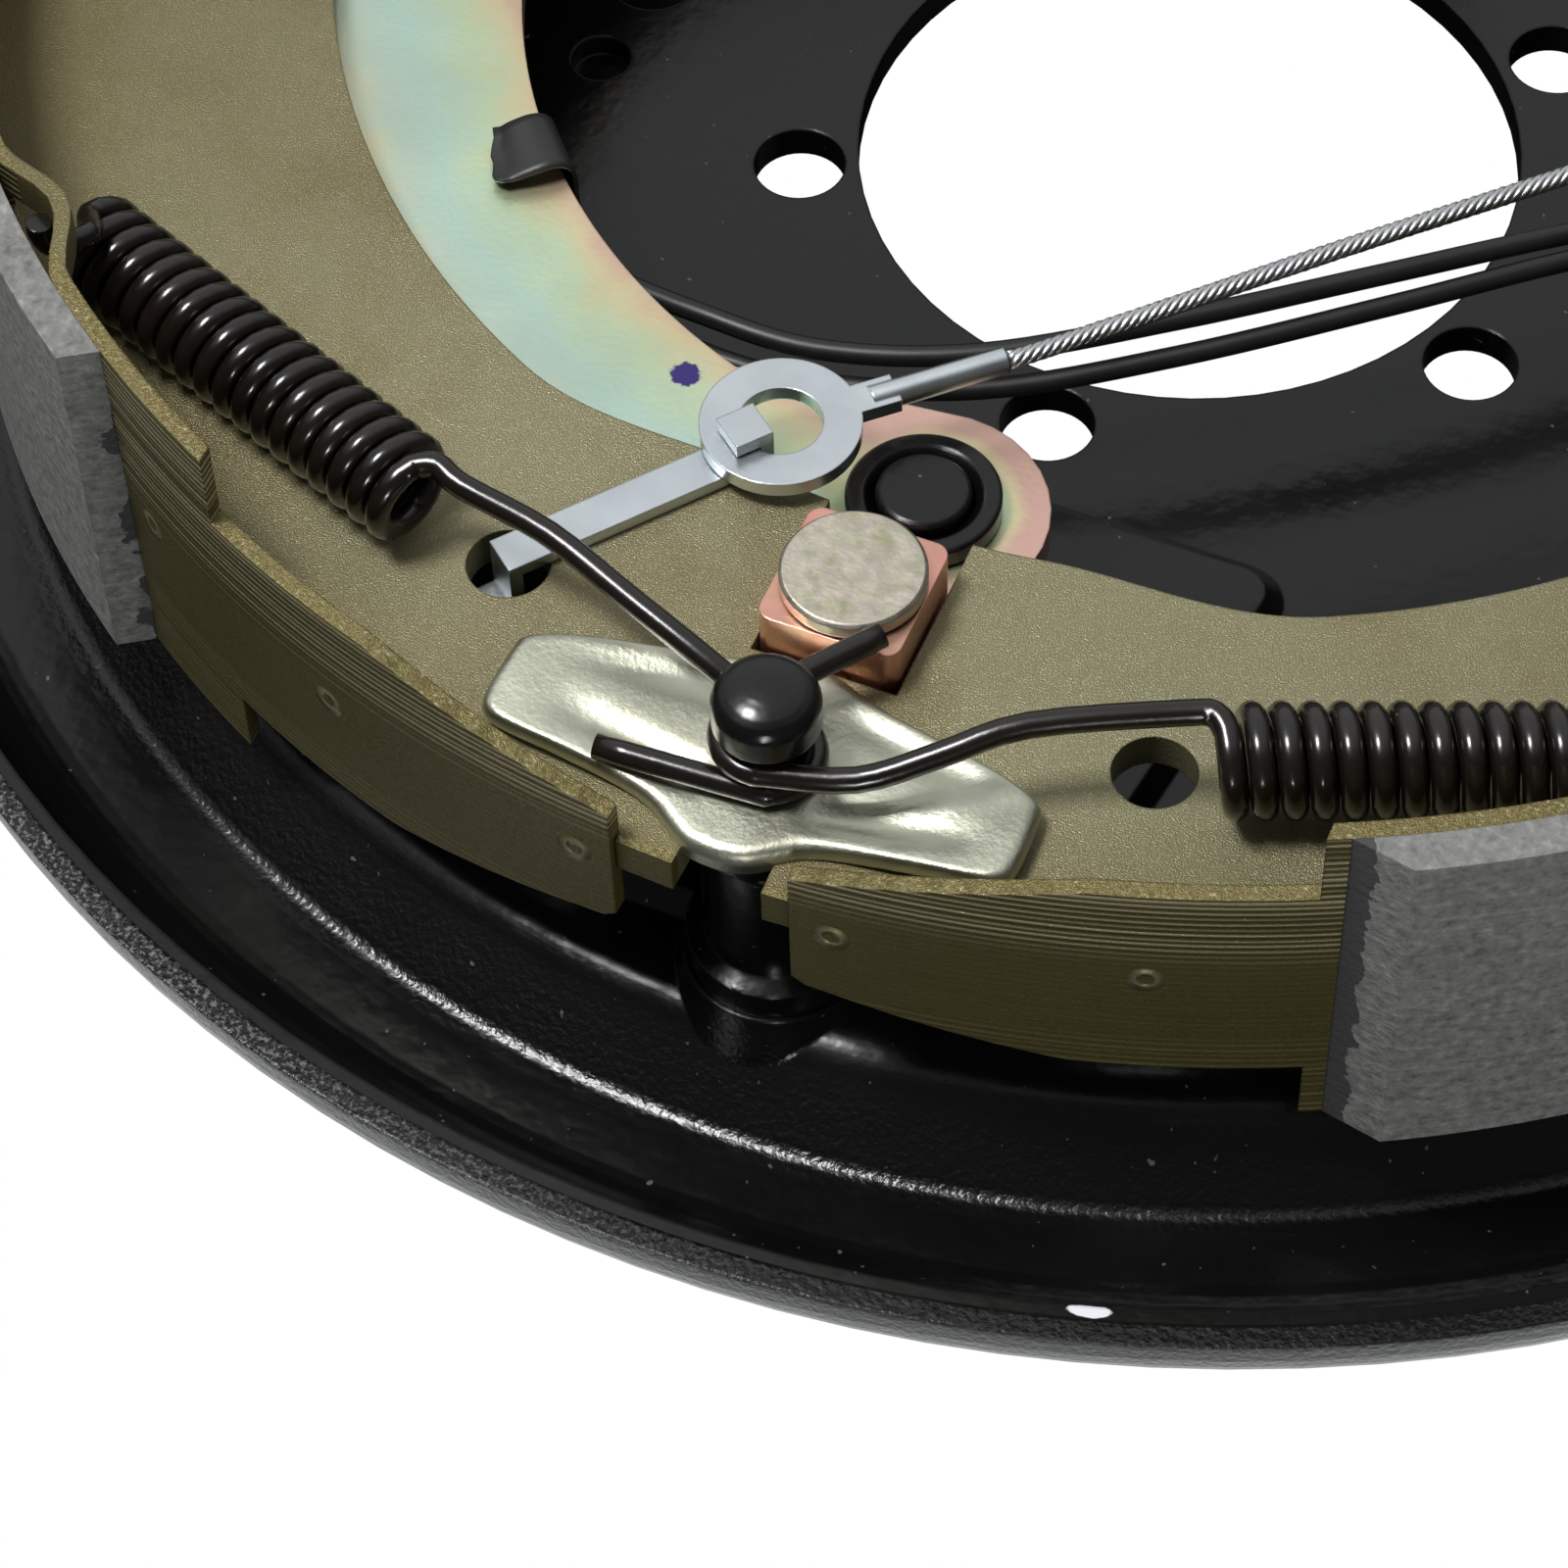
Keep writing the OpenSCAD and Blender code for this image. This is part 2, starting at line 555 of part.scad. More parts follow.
function neck_loop(z, a_in, a_out) = [for (i = [0:6])
    let (a = a_in + (a_out - a_in) * i / 6) [0, anchor_y, z] + loop_r * [cos(a), sin(a), 0]];
function return_spring_path(side, finish, d, arm, loop, tail) = concat(
    [for (p = hook_points) [side * p.x, p.y, p.z]], coil_path(side, finish, d),
    smooth_path(concat(arm, loop, [tail]), 2));

module primary_return_spring() color("#241d1a") swept_tube(return_spring_path(1, primary_coil_end,
    primary_coil_dir, primary_arm, neck_loop(wire_low_z, -72, -265), primary_tail), wire_d);
module secondary_return_spring() color("#241d1a") swept_tube(return_spring_path(-1, secondary_coil_end,
    secondary_coil_dir, secondary_arm, neck_loop(wire_high_z, 112, -40), secondary_tail), wire_d);

// Strap from the hole in the primary web to the cable's eyelet
link_dir = unit([eyelet_x - web_hole_x, eyelet_y - web_hole_y, 0]);
link_angle = atan2(link_dir.y, link_dir.x);
link_len = norm([eyelet_x - web_hole_x, eyelet_y - web_hole_y]);
link_up = eyelet_z + eyelet_t + slide_gap;
link_tab_x = link_len - sqrt(pow(eyelet_hole_d / 2 - slide_gap, 2) - pow(link_w / 2, 2));
link_tab_len = 4.6;
link_foot = 7;
module cable_link() color("#b9c0c4") translate([web_hole_x, web_hole_y, 0]) rotate(link_angle) {
    translate([-1, -link_w / 2, web_top + slide_gap]) cube([link_tab_x + link_t + 1, link_w, link_t]);
    translate([-1, -link_w / 2, web_bottom - slide_gap - link_t])
        cube([link_t, link_w, web_t + 2 * slide_gap + 2 * link_t]);
    translate([-link_foot, -link_w / 2, web_bottom - slide_gap - link_t]) cube([link_foot, link_w, link_t]);
    translate([link_tab_x, -link_w / 2, web_top + slide_gap])
        cube([link_t, link_w, link_up + link_t - web_top - slide_gap]);
    translate([link_tab_x + link_t - link_tab_len, -link_w / 2, link_up]) cube([link_tab_len, link_w, link_t]);
}
ferrule_dir = atan2(-18.5, -20);
module cable_eyelet() color("#b4bcc2") translate([eyelet_x, eyelet_y, eyelet_z]) {
    difference() {
        union() {
            cylinder(d = eyelet_d, h = eyelet_t);
            rotate(ferrule_dir) translate([eyelet_d / 2 - 1.5, -2, 0]) cube([6, 4, eyelet_t]);
        }
        translate([0, 0, -1]) cylinder(d = eyelet_hole_d, h = eyelet_t + 2);
    }
    rotate(ferrule_dir) translate([eyelet_d / 2 + 1.5, 0, eyelet_t / 2]) rotate([0, 90, 0])
        cylinder(r = ferrule_r, h = ferrule_len, $fn = 32);
}

// Route of the cable from the ferrule, over the guide on the secondary web, to the pawl
cable_points = [[-3.3, 71, 37.5], [-7, 67.5, 37.5], [-30, 44, 37.5], [-54, 20, 37.5], [-80, -6.5, 37.6],
    [-104, -30.5, 37.8], [-113.5, -40.2, 38], [-118.4, -46, 38], [-119.3, -51.5, 38], [-116.5, -57.5, 38],
    [-110, -64.4, 38], [-92, -82.5, 38], [-74, -100.5, 38], [-64.4, -110.2, 38]];
module adjuster_cable() color("#b9bcbf") swept_tube(smooth_path(cable_points, 2), cable_d, 8);
guide_post = [-107, -50];
groove_r = 10.6;
module cable_guide() color("#b4bcc2") translate([guide_post.x, guide_post.y, web_top])
    rotate_extrude($fn = 64) polygon([[0, 0], [14, 0], [14, 0.8], [groove_r, 2], [groove_r, 5.2], [14, 6.4],
        [14, 7.2], [9, 7.2], [9, 1.6], [0, 1.6]]);

// Adjuster: sleeve with a fork, star wheel on its screw, socket with a fork
fork_len = 9;
sleeve_len = 47;
star_t = 5;
star_x = 9;
adj_left = -web_end_x - fork_len;
module fork_slot(x0) translate([x0, -2 * sleeve_r, -web_t / 2]) cube([fork_len, 4 * sleeve_r, web_t]);
module at_adjuster() translate([0, -adjuster_y, web_mid]) children();
module adjuster_sleeve() color("#a8a98e") at_adjuster() difference() {
    translate([adj_left, 0, 0]) rotate([0, 90, 0])
        cylinder(r = sleeve_r, h = sleeve_len, $fn = 64);
    translate([adj_left - 1, 0, 0]) fork_slot(0);
    translate([-web_end_x + 4, 0, 0]) rotate([0, 90, 0])
        cylinder(r = screw_r + fit_gap, h = 2 * sleeve_len, $fn = 64);
}
screw_from = 20;
screw_len = 42;
tooth_h = 2.6;
module star_wheel_screw() color("#9fa0a0") at_adjuster() {
    translate([-screw_from, 0, 0]) rotate([0, 90, 0]) cylinder(r = screw_r, h = screw_len, $fn = 64);
    translate([star_x, 0, 0]) rotate([0, 90, 0]) linear_extrude(star_t) polygon([
        for (i = [0:4 * star_teeth - 1]) let (a = 360 * i / (4 * star_teeth))
            (i % 4 < 2 ? star_r : star_r - tooth_h) * [cos(a), sin(a)]]);
}
socket_x = star_x + star_t + 2;
module adjuster_socket() color("#a8a98e") at_adjuster() difference() {
    translate([socket_x, 0, 0]) rotate([0, 90, 0])
        cylinder(r = sleeve_r, h = web_end_x + fork_len - socket_x, $fn = 64);
    translate([web_end_x, 0, 0]) fork_slot(0.3);
    translate([socket_x - 1, 0, 0]) rotate([0, 90, 0]) cylinder(r = screw_r + fit_gap, h = 8, $fn = 64);
}
module thrust_washer() color("#b0b4b8") at_adjuster() translate([star_x + star_t + 0.1, 0, 0])
    rotate([0, 90, 0]) difference() {
        cylinder(r = sleeve_r, h = 1.6, $fn = 64);
        translate([0, 0, -1]) cylinder(r = screw_r + fit_gap, h = 4, $fn = 64);
    }

// Pawl: a bent lever that turns the star wheel by its teeth
pawl_pivot = [-58, -112];
pawl_t = 2;
module adjuster_pawl() color("#a9a67e") translate([0, 0, web_top + slide_gap]) difference() {
    linear_extrude(pawl_t) hull() {
        translate(pawl_pivot) circle(r = 6, $fn = hull_fn);
        translate([star_x + star_t / 2, -adjuster_y + star_r + 3]) circle(r = 1.6, $fn = hull_fn);
    }
    translate([pawl_pivot.x, pawl_pivot.y, -1]) cylinder(r = 3 + fit_gap, h = pawl_t + 2, $fn = 48);
}
module pawl_pin() color("#8f8f86") translate([pawl_pivot.x, pawl_pivot.y, web_top])
    rotate_extrude($fn = 48) polygon([[0, 0], [3, 0], [3, pawl_t + 2 * slide_gap],
        [5, pawl_t + 2 * slide_gap], [5, pawl_t + 2], [0, pawl_t + 2]]);

// Spring that pulls the lower ends of the shoes together, hooked up through the webs
shoe_spring_d = 10;
shoe_spring_wire = 2;
shoe_spring_turns = 11;
shoe_spring_z = lever_bottom - shoe_spring_d / 2 - 1;
shoe_spring_half = 20;
module shoe_spring() color("#2a2a2c") {
    n = shoe_spring_turns * coil_seg;
    r = (shoe_spring_d - shoe_spring_wire) / 2;
    coil = [for (i = [0:n]) [-shoe_spring_half + 2 * shoe_spring_half * i / n,
        -shoe_hole_y + r * sin(360 * i / coil_seg), shoe_spring_z + r * cos(360 * i / coil_seg)]];
    hook = [[shoe_hole_x, -shoe_hole_y, web_top - 0.6], [shoe_hole_x, -shoe_hole_y, web_bottom - 3],
        [shoe_hole_x - 3, -shoe_hole_y, shoe_spring_z + r + 0.6],
        [shoe_spring_half + 4, -shoe_hole_y, shoe_spring_z + r]];
    swept_tube(concat([for (p = hook) [-p.x, p.y, p.z]], coil, backwards(hook)), shoe_spring_wire);
}

// Hold-down pins, springs and cups at the middle of each shoe
hold_cup_z = web_top + 13;
module at_hold_downs() for (s = [-1, 1]) rotate(90 - s * (90 - hold_down_angle))
    translate([hold_down_r, 0, 0]) children();
module hold_down_pins() color("#9a9a92") at_hold_downs() rotate_extrude($fn = 32)
    polygon([[0, -plate_t - 1.4], [5, -plate_t - 1.4], [5, -plate_t], [1.7, -plate_t],
        [1.7, hold_cup_z + 2.6], [3, hold_cup_z + 2.6], [3, hold_cup_z + 4], [0, hold_cup_z + 4]]);
hold_coil_r = 6;
hold_wire = 1.6;
hold_turns = 5;
module hold_down_springs() color("#2f2f31") at_hold_downs() {
    n = hold_turns * coil_seg;
    rise = hold_cup_z - web_top - 1.5 * hold_wire;
    swept_tube([for (i = [0:n]) [hold_coil_r * cos(360 * i / coil_seg), hold_coil_r * sin(360 * i / coil_seg),
        web_top + 0.75 * hold_wire + rise * i / n]], hold_wire, 5);
}
module hold_down_cups() color("#a6a27c") at_hold_downs() rotate_extrude($fn = 48)
    polygon([[2, hold_cup_z], [7.6, hold_cup_z], [7.6, hold_cup_z - 3], [8.8, hold_cup_z - 3],
        [8.8, hold_cup_z + 1.2], [5, hold_cup_z + 1.2], [4, hold_cup_z + 2.4], [2, hold_cup_z + 2.4]]);

// Magnet: an oval coil body with a steel face, sliding on a post on the lever
magnet_z = lever_top + 4;
module at_magnet() translate([magnet_pos.x, magnet_pos.y, 0]) rotate(magnet_angle + 90) children();
module oval(len, w) hull() for (s = [-1, 1]) translate([s * (len - w) / 2, 0]) circle(d = w, $fn = 64);
face_t = 5;
face_edge = 1;
module magnet_body() color("#20242c") at_magnet() translate([0, 0, magnet_z]) difference() {
    linear_extrude(magnet_h - face_t) oval(magnet_len, magnet_w);
    translate([0, 0, -1]) cylinder(r = magnet_post_r + fit_gap, h = magnet_h + 2, $fn = 64);
}
module magnet_face() color("#8b8d90") at_magnet() translate([0, 0, magnet_z + magnet_h - face_t]) difference() {
    linear_extrude(face_t) oval(magnet_len + 2 * face_edge, magnet_w + 2 * face_edge);
    translate([0, 0, -1]) cylinder(r = magnet_post_r + 3, h = face_t + 2, $fn = 64);
}
module magnet_post() color("#9a9c9f") at_magnet() rotate_extrude($fn = 64)
    polygon([[0, lever_bottom - 2], [magnet_post_r + 1, lever_bottom - 2], [magnet_post_r + 1, lever_bottom],
        [magnet_post_r - 1, lever_bottom], [magnet_post_r - 1, lever_top], [magnet_post_r, lever_top],
        [magnet_post_r, magnet_z + magnet_h - 3], [0, magnet_z + magnet_h - 3]]);
module magnet_spring() color("#3a3a3c") at_magnet() {
    n = 24;
    swept_tube([for (i = [0:n]) [(7.2 + 4 * i / n) * cos(30 * i), (7.2 + 4 * i / n) * sin(30 * i),
        lever_top + 0.8 + 2.3 * i / n]], 1.2);
}
module magnet_retainer() color("#6d6f72") at_magnet() translate([0, 0, magnet_z + magnet_h - face_t + 0.2])
    difference() {
        cylinder(r = magnet_post_r + 2.4, h = 1.2, $fn = 64);
        translate([0, 0, -1]) cylinder(r = magnet_post_r + fit_gap, h = 4, $fn = 64);
    }

// Leads from the magnet, under the lever, across to the grommet, and their tails behind the plate
tail_z = -9.2;
lead_a_points = [[27.4, -60.2, 39], [27.9, -57, 38.7], [36, -53.6, 36.7], [48, -49.8, 32],
    [58, -44.5, 27], [67, -35, 22.5], [77, -22, 22], [83, 0, 22.9], [79, 27, 22.9], [61.8, 55.7, 22.9],
    [57.6, 60.2, 22.9], [50.5, 62.6, 20.5], [39, 62.6, 18.5], [24, 61.8, 17.5], [6, 55.8, 18],
    [-14, 43, 19], [-34, 27.5, 19], [-51.4, 13, 18], [-66, -1, 14], [-75.4, -15, 9],
    [-78.2, -23.2, 3.6], [-78.3, -24, -1], [-78.3, -24, -6.4], [-79, -27, tail_z], [-81, -35, tail_z],
    [-84, -52, tail_z], [-78, -70, tail_z], [-64, -86, tail_z], [-46, -97, tail_z]];
lead_b_points = [[21.4, -61.6, 36], [23.4, -58.6, 35.8], [34, -57.4, 34.5], [47, -54, 30.5],
    [60, -47, 25], [71, -37, 21.5], [80.5, -24, 21.8], [86, 0, 22.9], [81.8, 28.6, 22.9],
    [64.1, 57.7, 22.9], [59.8, 62.3, 22.9], [53, 65.3, 20], [41, 66, 16.5], [25, 65, 15], [5, 58.5, 15],
    [-15, 46, 16], [-36, 30, 17], [-54, 15, 17], [-69, 1, 13], [-78.5, -13, 8.6], [-81.6, -22.6, 3.6],
    [-81.7, -24, -1], [-81.7, -24, -6.4], [-82.6, -27, tail_z], [-85, -35, tail_z], [-88, -53, tail_z],
    [-82, -73, tail_z], [-67, -90, tail_z], [-49, -101, tail_z]];
module magnet_lead_a() color("#141414") swept_tube(smooth_path(lead_a_points, 2), lead_d, 8);
module magnet_lead_b() color("#141414") swept_tube(smooth_path(lead_b_points, 2), lead_d, 8);

// Bent wire clip over the lever's inner edge, with the leads in its lower fold
clip_angle = 42;
clip_w = 9;
clip_t = 1;
clip_len = 8;
clip_low = lever_bottom - lead_d - 2 * slide_gap - clip_t;
module lead_clip() color("#18181a") rotate(clip_angle)
    translate([lever_inner_r - clip_t - slide_gap, -clip_w / 2, 0]) {
        translate([0, 0, clip_low]) cube([clip_t, clip_w, lever_top + clip_t - clip_low]);
        translate([0, 0, lever_top]) cube([clip_len, clip_w, clip_t]);
        translate([0, 0, clip_low]) cube([clip_len, clip_w, clip_t]);
    }
module lead_grommet() color("#101010") translate([grommet_pos.x, grommet_pos.y, 0]) rotate_extrude($fn = 48)
    polygon([[4, -plate_t - 3], [7, -plate_t - 3], [8, -plate_t], [grommet_hole_r, -plate_t],
        [grommet_hole_r, 0], [8, 0], [8, 1.5], [6, 3], [4, 3]]);
module adjuster_slot_plugs() color("#101010") for (s = [-1, 1]) translate([s * plug_x, -plug_y, 0]) {
    translate([0, 0, -plate_t]) linear_extrude(plate_t) slot_shape(plug_len - 0.4, plug_w - 0.4);
    translate([0, 0, -plate_t - 2.5]) linear_extrude(2.5) slot_shape(plug_len + 5, plug_w + 5);
    translate([0, 0, 0.02]) linear_extrude(1.5) slot_shape(plug_len + 1.5, plug_w + 1.5);
}

backing_plate();
anchor_post();
lever_pivot_post();
pivot_ring();
actuating_lever();
cam_block();
block_pin();
shoe_guide_plate();
primary_web();
primary_table();
primary_lining();
secondary_web();
secondary_table();
secondary_lining();
primary_return_spring();
secondary_return_spring();
cable_link();
cable_eyelet();
adjuster_cable();
cable_guide();
adjuster_sleeve();
star_wheel_screw();
adjuster_socket();
thrust_washer();
adjuster_pawl();
pawl_pin();
shoe_spring();
hold_down_pins();
hold_down_springs();
hold_down_cups();
magnet_body();
magnet_face();
magnet_post();
magnet_spring();
magnet_retainer();
magnet_lead_a();
magnet_lead_b();
lead_clip();
lead_grommet();
adjuster_slot_plugs();
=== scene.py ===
import json
import math

import bpy
from mathutils import Matrix, Vector


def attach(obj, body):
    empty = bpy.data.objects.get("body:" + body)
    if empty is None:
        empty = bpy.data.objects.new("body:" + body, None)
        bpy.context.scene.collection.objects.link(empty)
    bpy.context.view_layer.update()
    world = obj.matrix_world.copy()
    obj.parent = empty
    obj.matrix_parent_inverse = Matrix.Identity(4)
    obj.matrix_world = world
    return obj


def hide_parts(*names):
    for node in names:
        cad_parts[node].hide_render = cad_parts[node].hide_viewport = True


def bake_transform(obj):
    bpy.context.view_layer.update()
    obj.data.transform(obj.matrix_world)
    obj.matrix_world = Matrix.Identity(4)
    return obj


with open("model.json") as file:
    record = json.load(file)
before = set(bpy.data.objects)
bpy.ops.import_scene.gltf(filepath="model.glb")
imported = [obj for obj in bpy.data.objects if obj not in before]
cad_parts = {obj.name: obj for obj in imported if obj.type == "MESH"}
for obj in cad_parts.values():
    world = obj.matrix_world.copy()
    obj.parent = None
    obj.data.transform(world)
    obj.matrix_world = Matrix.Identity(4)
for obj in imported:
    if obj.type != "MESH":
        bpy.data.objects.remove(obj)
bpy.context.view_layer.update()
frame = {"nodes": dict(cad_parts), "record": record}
NODES = frame["nodes"]
MM = 0.001


class Tree:
    """A material's node tree. Points are in the CAD frame, in metres."""

    def __init__(self, name):
        self.mat = bpy.data.materials.new(name)
        self.mat.use_nodes = True
        self.nodes, self.links = self.mat.node_tree.nodes, self.mat.node_tree.links
        self.shader = self.nodes["Principled BSDF"]
        self.coords = self.nodes.new("ShaderNodeTexCoord").outputs["Object"]

    def feed(self, socket, value):
        """Put a constant on one of the shader's own sockets, or link a node's output to it."""
        if isinstance(value, (int, float)):
            self.shader.inputs[socket].default_value = value
        else:
            self.links.new(value, self.shader.inputs[socket])

    def noise(self, scale, detail=3.0, rough=0.5, stretch=None):
        coords = self.coords
        if stretch:
            mapping = self.nodes.new("ShaderNodeMapping")
            mapping.inputs["Scale"].default_value = stretch
            self.links.new(coords, mapping.inputs["Vector"])
            coords = mapping.outputs["Vector"]
        tex = self.nodes.new("ShaderNodeTexNoise")
        tex.inputs["Scale"].default_value = scale
        tex.inputs["Detail"].default_value = detail
        tex.inputs["Roughness"].default_value = rough
        self.links.new(coords, tex.inputs["Vector"])
        return tex.outputs["Fac"]

    def ramp(self, fac, stops):
        node = self.nodes.new("ShaderNodeValToRGB")
        band = node.color_ramp
        while len(band.elements) < len(stops):
            band.elements.new(0.5)
        for element, (place, colour) in zip(band.elements, stops):
            element.position = place
            element.color = (*colour, 1)
        self.links.new(fac, node.inputs["Fac"])
        return node.outputs["Color"]

    def maths(self, operation, *terms):
        node = self.nodes.new("ShaderNodeMath")
        node.operation = operation
        for socket, term in zip(node.inputs, terms):
            if isinstance(term, (int, float)):
                socket.default_value = term
            else:
                self.links.new(term, socket)
        return node.outputs["Value"]

    def plus(self, a, b):
        return self.maths("ADD", a, b)

    def minus(self, a, b):
        return self.maths("SUBTRACT", a, b)

    def times(self, a, b):
        return self.maths("MULTIPLY", a, b)

    def length(self, a, b):
        """The length of a vector whose two parts are at right angles."""
        return self.maths("SQRT", self.plus(self.times(a, a), self.times(b, b)))

    def mixed(self, fac, a, b):
        """Colour a where fac is 0 and b where it is 1; either may be a plain colour."""
        node = self.nodes.new("ShaderNodeMix")
        node.data_type = "RGBA"
        self.links.new(fac, node.inputs["Factor"])
        for socket, term in ((node.inputs[6], a), (node.inputs[7], b)):
            if isinstance(term, tuple):
                socket.default_value = (*term, 1)
            else:
                self.links.new(term, socket)
        return node.outputs[2]

    def remap(self, value, low, high, start=0.3, end=0.7):
        """Low where the value is at start or less, high where it is at end or more."""
        node = self.nodes.new("ShaderNodeMapRange")
        node.inputs["From Min"].default_value = start
        node.inputs["From Max"].default_value = end
        node.inputs["To Min"].default_value = low
        node.inputs["To Max"].default_value = high
        self.links.new(value, node.inputs["Value"])
        return node.outputs["Result"]

    def along(self, direction, centre=(0.0, 0.0, 0.0), half=1.0):
        """Distance from a point along one direction, counted in half-lengths."""
        shifted = self.nodes.new("ShaderNodeVectorMath")
        shifted.operation = "SUBTRACT"
        shifted.inputs[1].default_value = centre
        self.links.new(self.coords, shifted.inputs[0])
        dot = self.nodes.new("ShaderNodeVectorMath")
        dot.operation = "DOT_PRODUCT"
        dot.inputs[1].default_value = direction
        self.links.new(shifted.outputs["Vector"], dot.inputs[0])
        return self.maths("DIVIDE", dot.outputs["Value"], half)

    def polar(self, centre=(0.0, 0.0)):
        """Distance from an upright axis, height, and the angle round it in radians."""
        node = self.nodes.new("ShaderNodeSeparateXYZ")
        self.links.new(self.coords, node.inputs["Vector"])
        x = self.minus(node.outputs["X"], centre[0])
        y = self.minus(node.outputs["Y"], centre[1])
        return self.length(x, y), node.outputs["Z"], self.maths("ARCTAN2", y, x)

    def bump(self, height, strength, distance, edge=0.0003):
        """Relief on the surface, over edges rounded to the radius that edge gives."""
        bump = self.nodes.new("ShaderNodeBump")
        bump.inputs["Strength"].default_value = strength
        bump.inputs["Distance"].default_value = distance
        self.links.new(height, bump.inputs["Height"])
        bevel = self.nodes.new("ShaderNodeBevel")
        bevel.samples = 4
        bevel.inputs["Radius"].default_value = edge
        self.links.new(bevel.outputs["Normal"], bump.inputs["Normal"])
        self.links.new(bump.outputs["Normal"], self.shader.inputs["Normal"])


def finish(name, stops, scale, metallic, rough, grain, bump, coat=0.0):
    """A material whose colour wanders between stops, with a fine grain in the surface."""
    t = Tree(name)
    t.feed("Base Color", t.ramp(t.noise(scale, 4.0, 0.55), stops))
    t.feed("Metallic", metallic)
    t.feed("Coat Weight", coat)
    t.feed("Coat Roughness", 0.08)
    t.feed("Roughness", t.remap(t.noise(scale * 2.3), *rough))
    t.bump(t.noise(grain, 2.0, 0.6), bump, 0.0002)
    return t.mat


# Places on the solids that the materials below follow, in metres
SIDEWAYS = (1.0, 0.0, 0.0)
RIM_LIP_R, RIM_LIP_Z = (0.1672, 0.1684), (-0.0035, 0.0)
RIM_EDGE_R = (0.1696, 0.1700)
CHANNEL_FOOT_IN, CHANNEL_FOOT_OUT = (0.1400, 0.1460), (0.1500, 0.1530)
CHIP = (-0.0487, 0.1615)
TABLE_INNER_R, TABLE_OUTER_R = 0.14456, 0.1466
DRAWN_TOP_Z, DRAWN_LOW_Z = (0.034, 0.039), (0.017, 0.022)
LINE_PITCH = 0.00098
BOW_R = (0.0815, 0.108)
PIVOT = (0.0, 0.088)
PAINT_DOT = (0.0325, 0.0798)
# Angle in degrees and height of each weld that shows through a table
WELDS = [(83.5, 0.0308), (70.4, 0.0312), (58.2, 0.0328), (95.1, 0.0308), (108.1, 0.0319)]
LINING_ENDS = (math.radians(56.2 - 0.9), math.radians(115.8 + 1.7))


def black_enamel():
    """Gloss black paint with an orange-peel skin and sparse dust, pitted and torn at the rim, with
    glints painted as grey flecks on the torn edge.
    """
    t = Tree("black_enamel")
    radius, height, _ = t.polar()
    dust = t.remap(t.noise(700, 1.0), 0, 1, 0.76, 0.80)
    base = t.mixed(dust, (0.0022, 0.0022, 0.0025), (0.07, 0.07, 0.07))
    at_rim = t.times(t.remap(radius, 0, 1, *RIM_LIP_R), t.remap(height, 0, 1, *RIM_LIP_Z))
    edge_band = t.remap(radius, 0, 1, *RIM_EDGE_R)
    pitted = t.times(t.remap(radius, 0, 0.8, *CHANNEL_FOOT_IN),
                     t.remap(radius, 1, 0, *CHANNEL_FOOT_OUT))
    # A real torn edge round the rim, with its glints painted in as grey flecks, mostly on the one side
    # where light catches them.
    torn = t.times(t.remap(t.noise(1500, 3.0, 0.7), 0, 1, 0.50, 0.64), edge_band)
    torn = t.times(torn, t.remap(t.along(SIDEWAYS), 0.08, 1, -0.02, 0.06))
    base = t.mixed(t.times(at_rim, torn), base, (0.13, 0.13, 0.14))
    turn = math.atan2(CHIP[1], CHIP[0])
    length = t.along((-math.sin(turn), math.cos(turn), 0.0), (*CHIP, 0.0), 0.0026)
    width = t.along((math.cos(turn), math.sin(turn), 0.0), (*CHIP, 0.0), 0.0009)
    chip = t.plus(t.plus(t.times(length, length), t.times(width, width)),
                  t.times(t.noise(900), 0.8))
    base = t.mixed(t.remap(chip, 1, 0, 1.1, 1.3), base, (0.62, 0.62, 0.66))
    t.feed("Base Color", base)
    t.feed("Roughness", t.remap(t.noise(30), 0.17, 0.26))
    pits = t.times(t.plus(pitted, edge_band), t.times(t.noise(1300, 3.0), 2.6))
    t.bump(t.plus(t.noise(330, 2.0), pits), 0.2, 0.0004, 0.0006)
    return t.mat


def weld_rings(t, height):
    """1 on a small ring round each weld, 0 elsewhere."""
    rings = 0.0
    for degrees, z in WELDS:
        angle = math.radians(degrees)
        spot, _, _ = t.polar((TABLE_OUTER_R * math.cos(angle), TABLE_OUTER_R * math.sin(angle)))
        away = t.length(spot, t.minus(height, z))
        ring = t.times(t.remap(away, 0, 1, 0.0007, 0.0011), t.remap(away, 1, 0, 0.0013, 0.0021))
        rings = t.plus(rings, ring)
    return rings


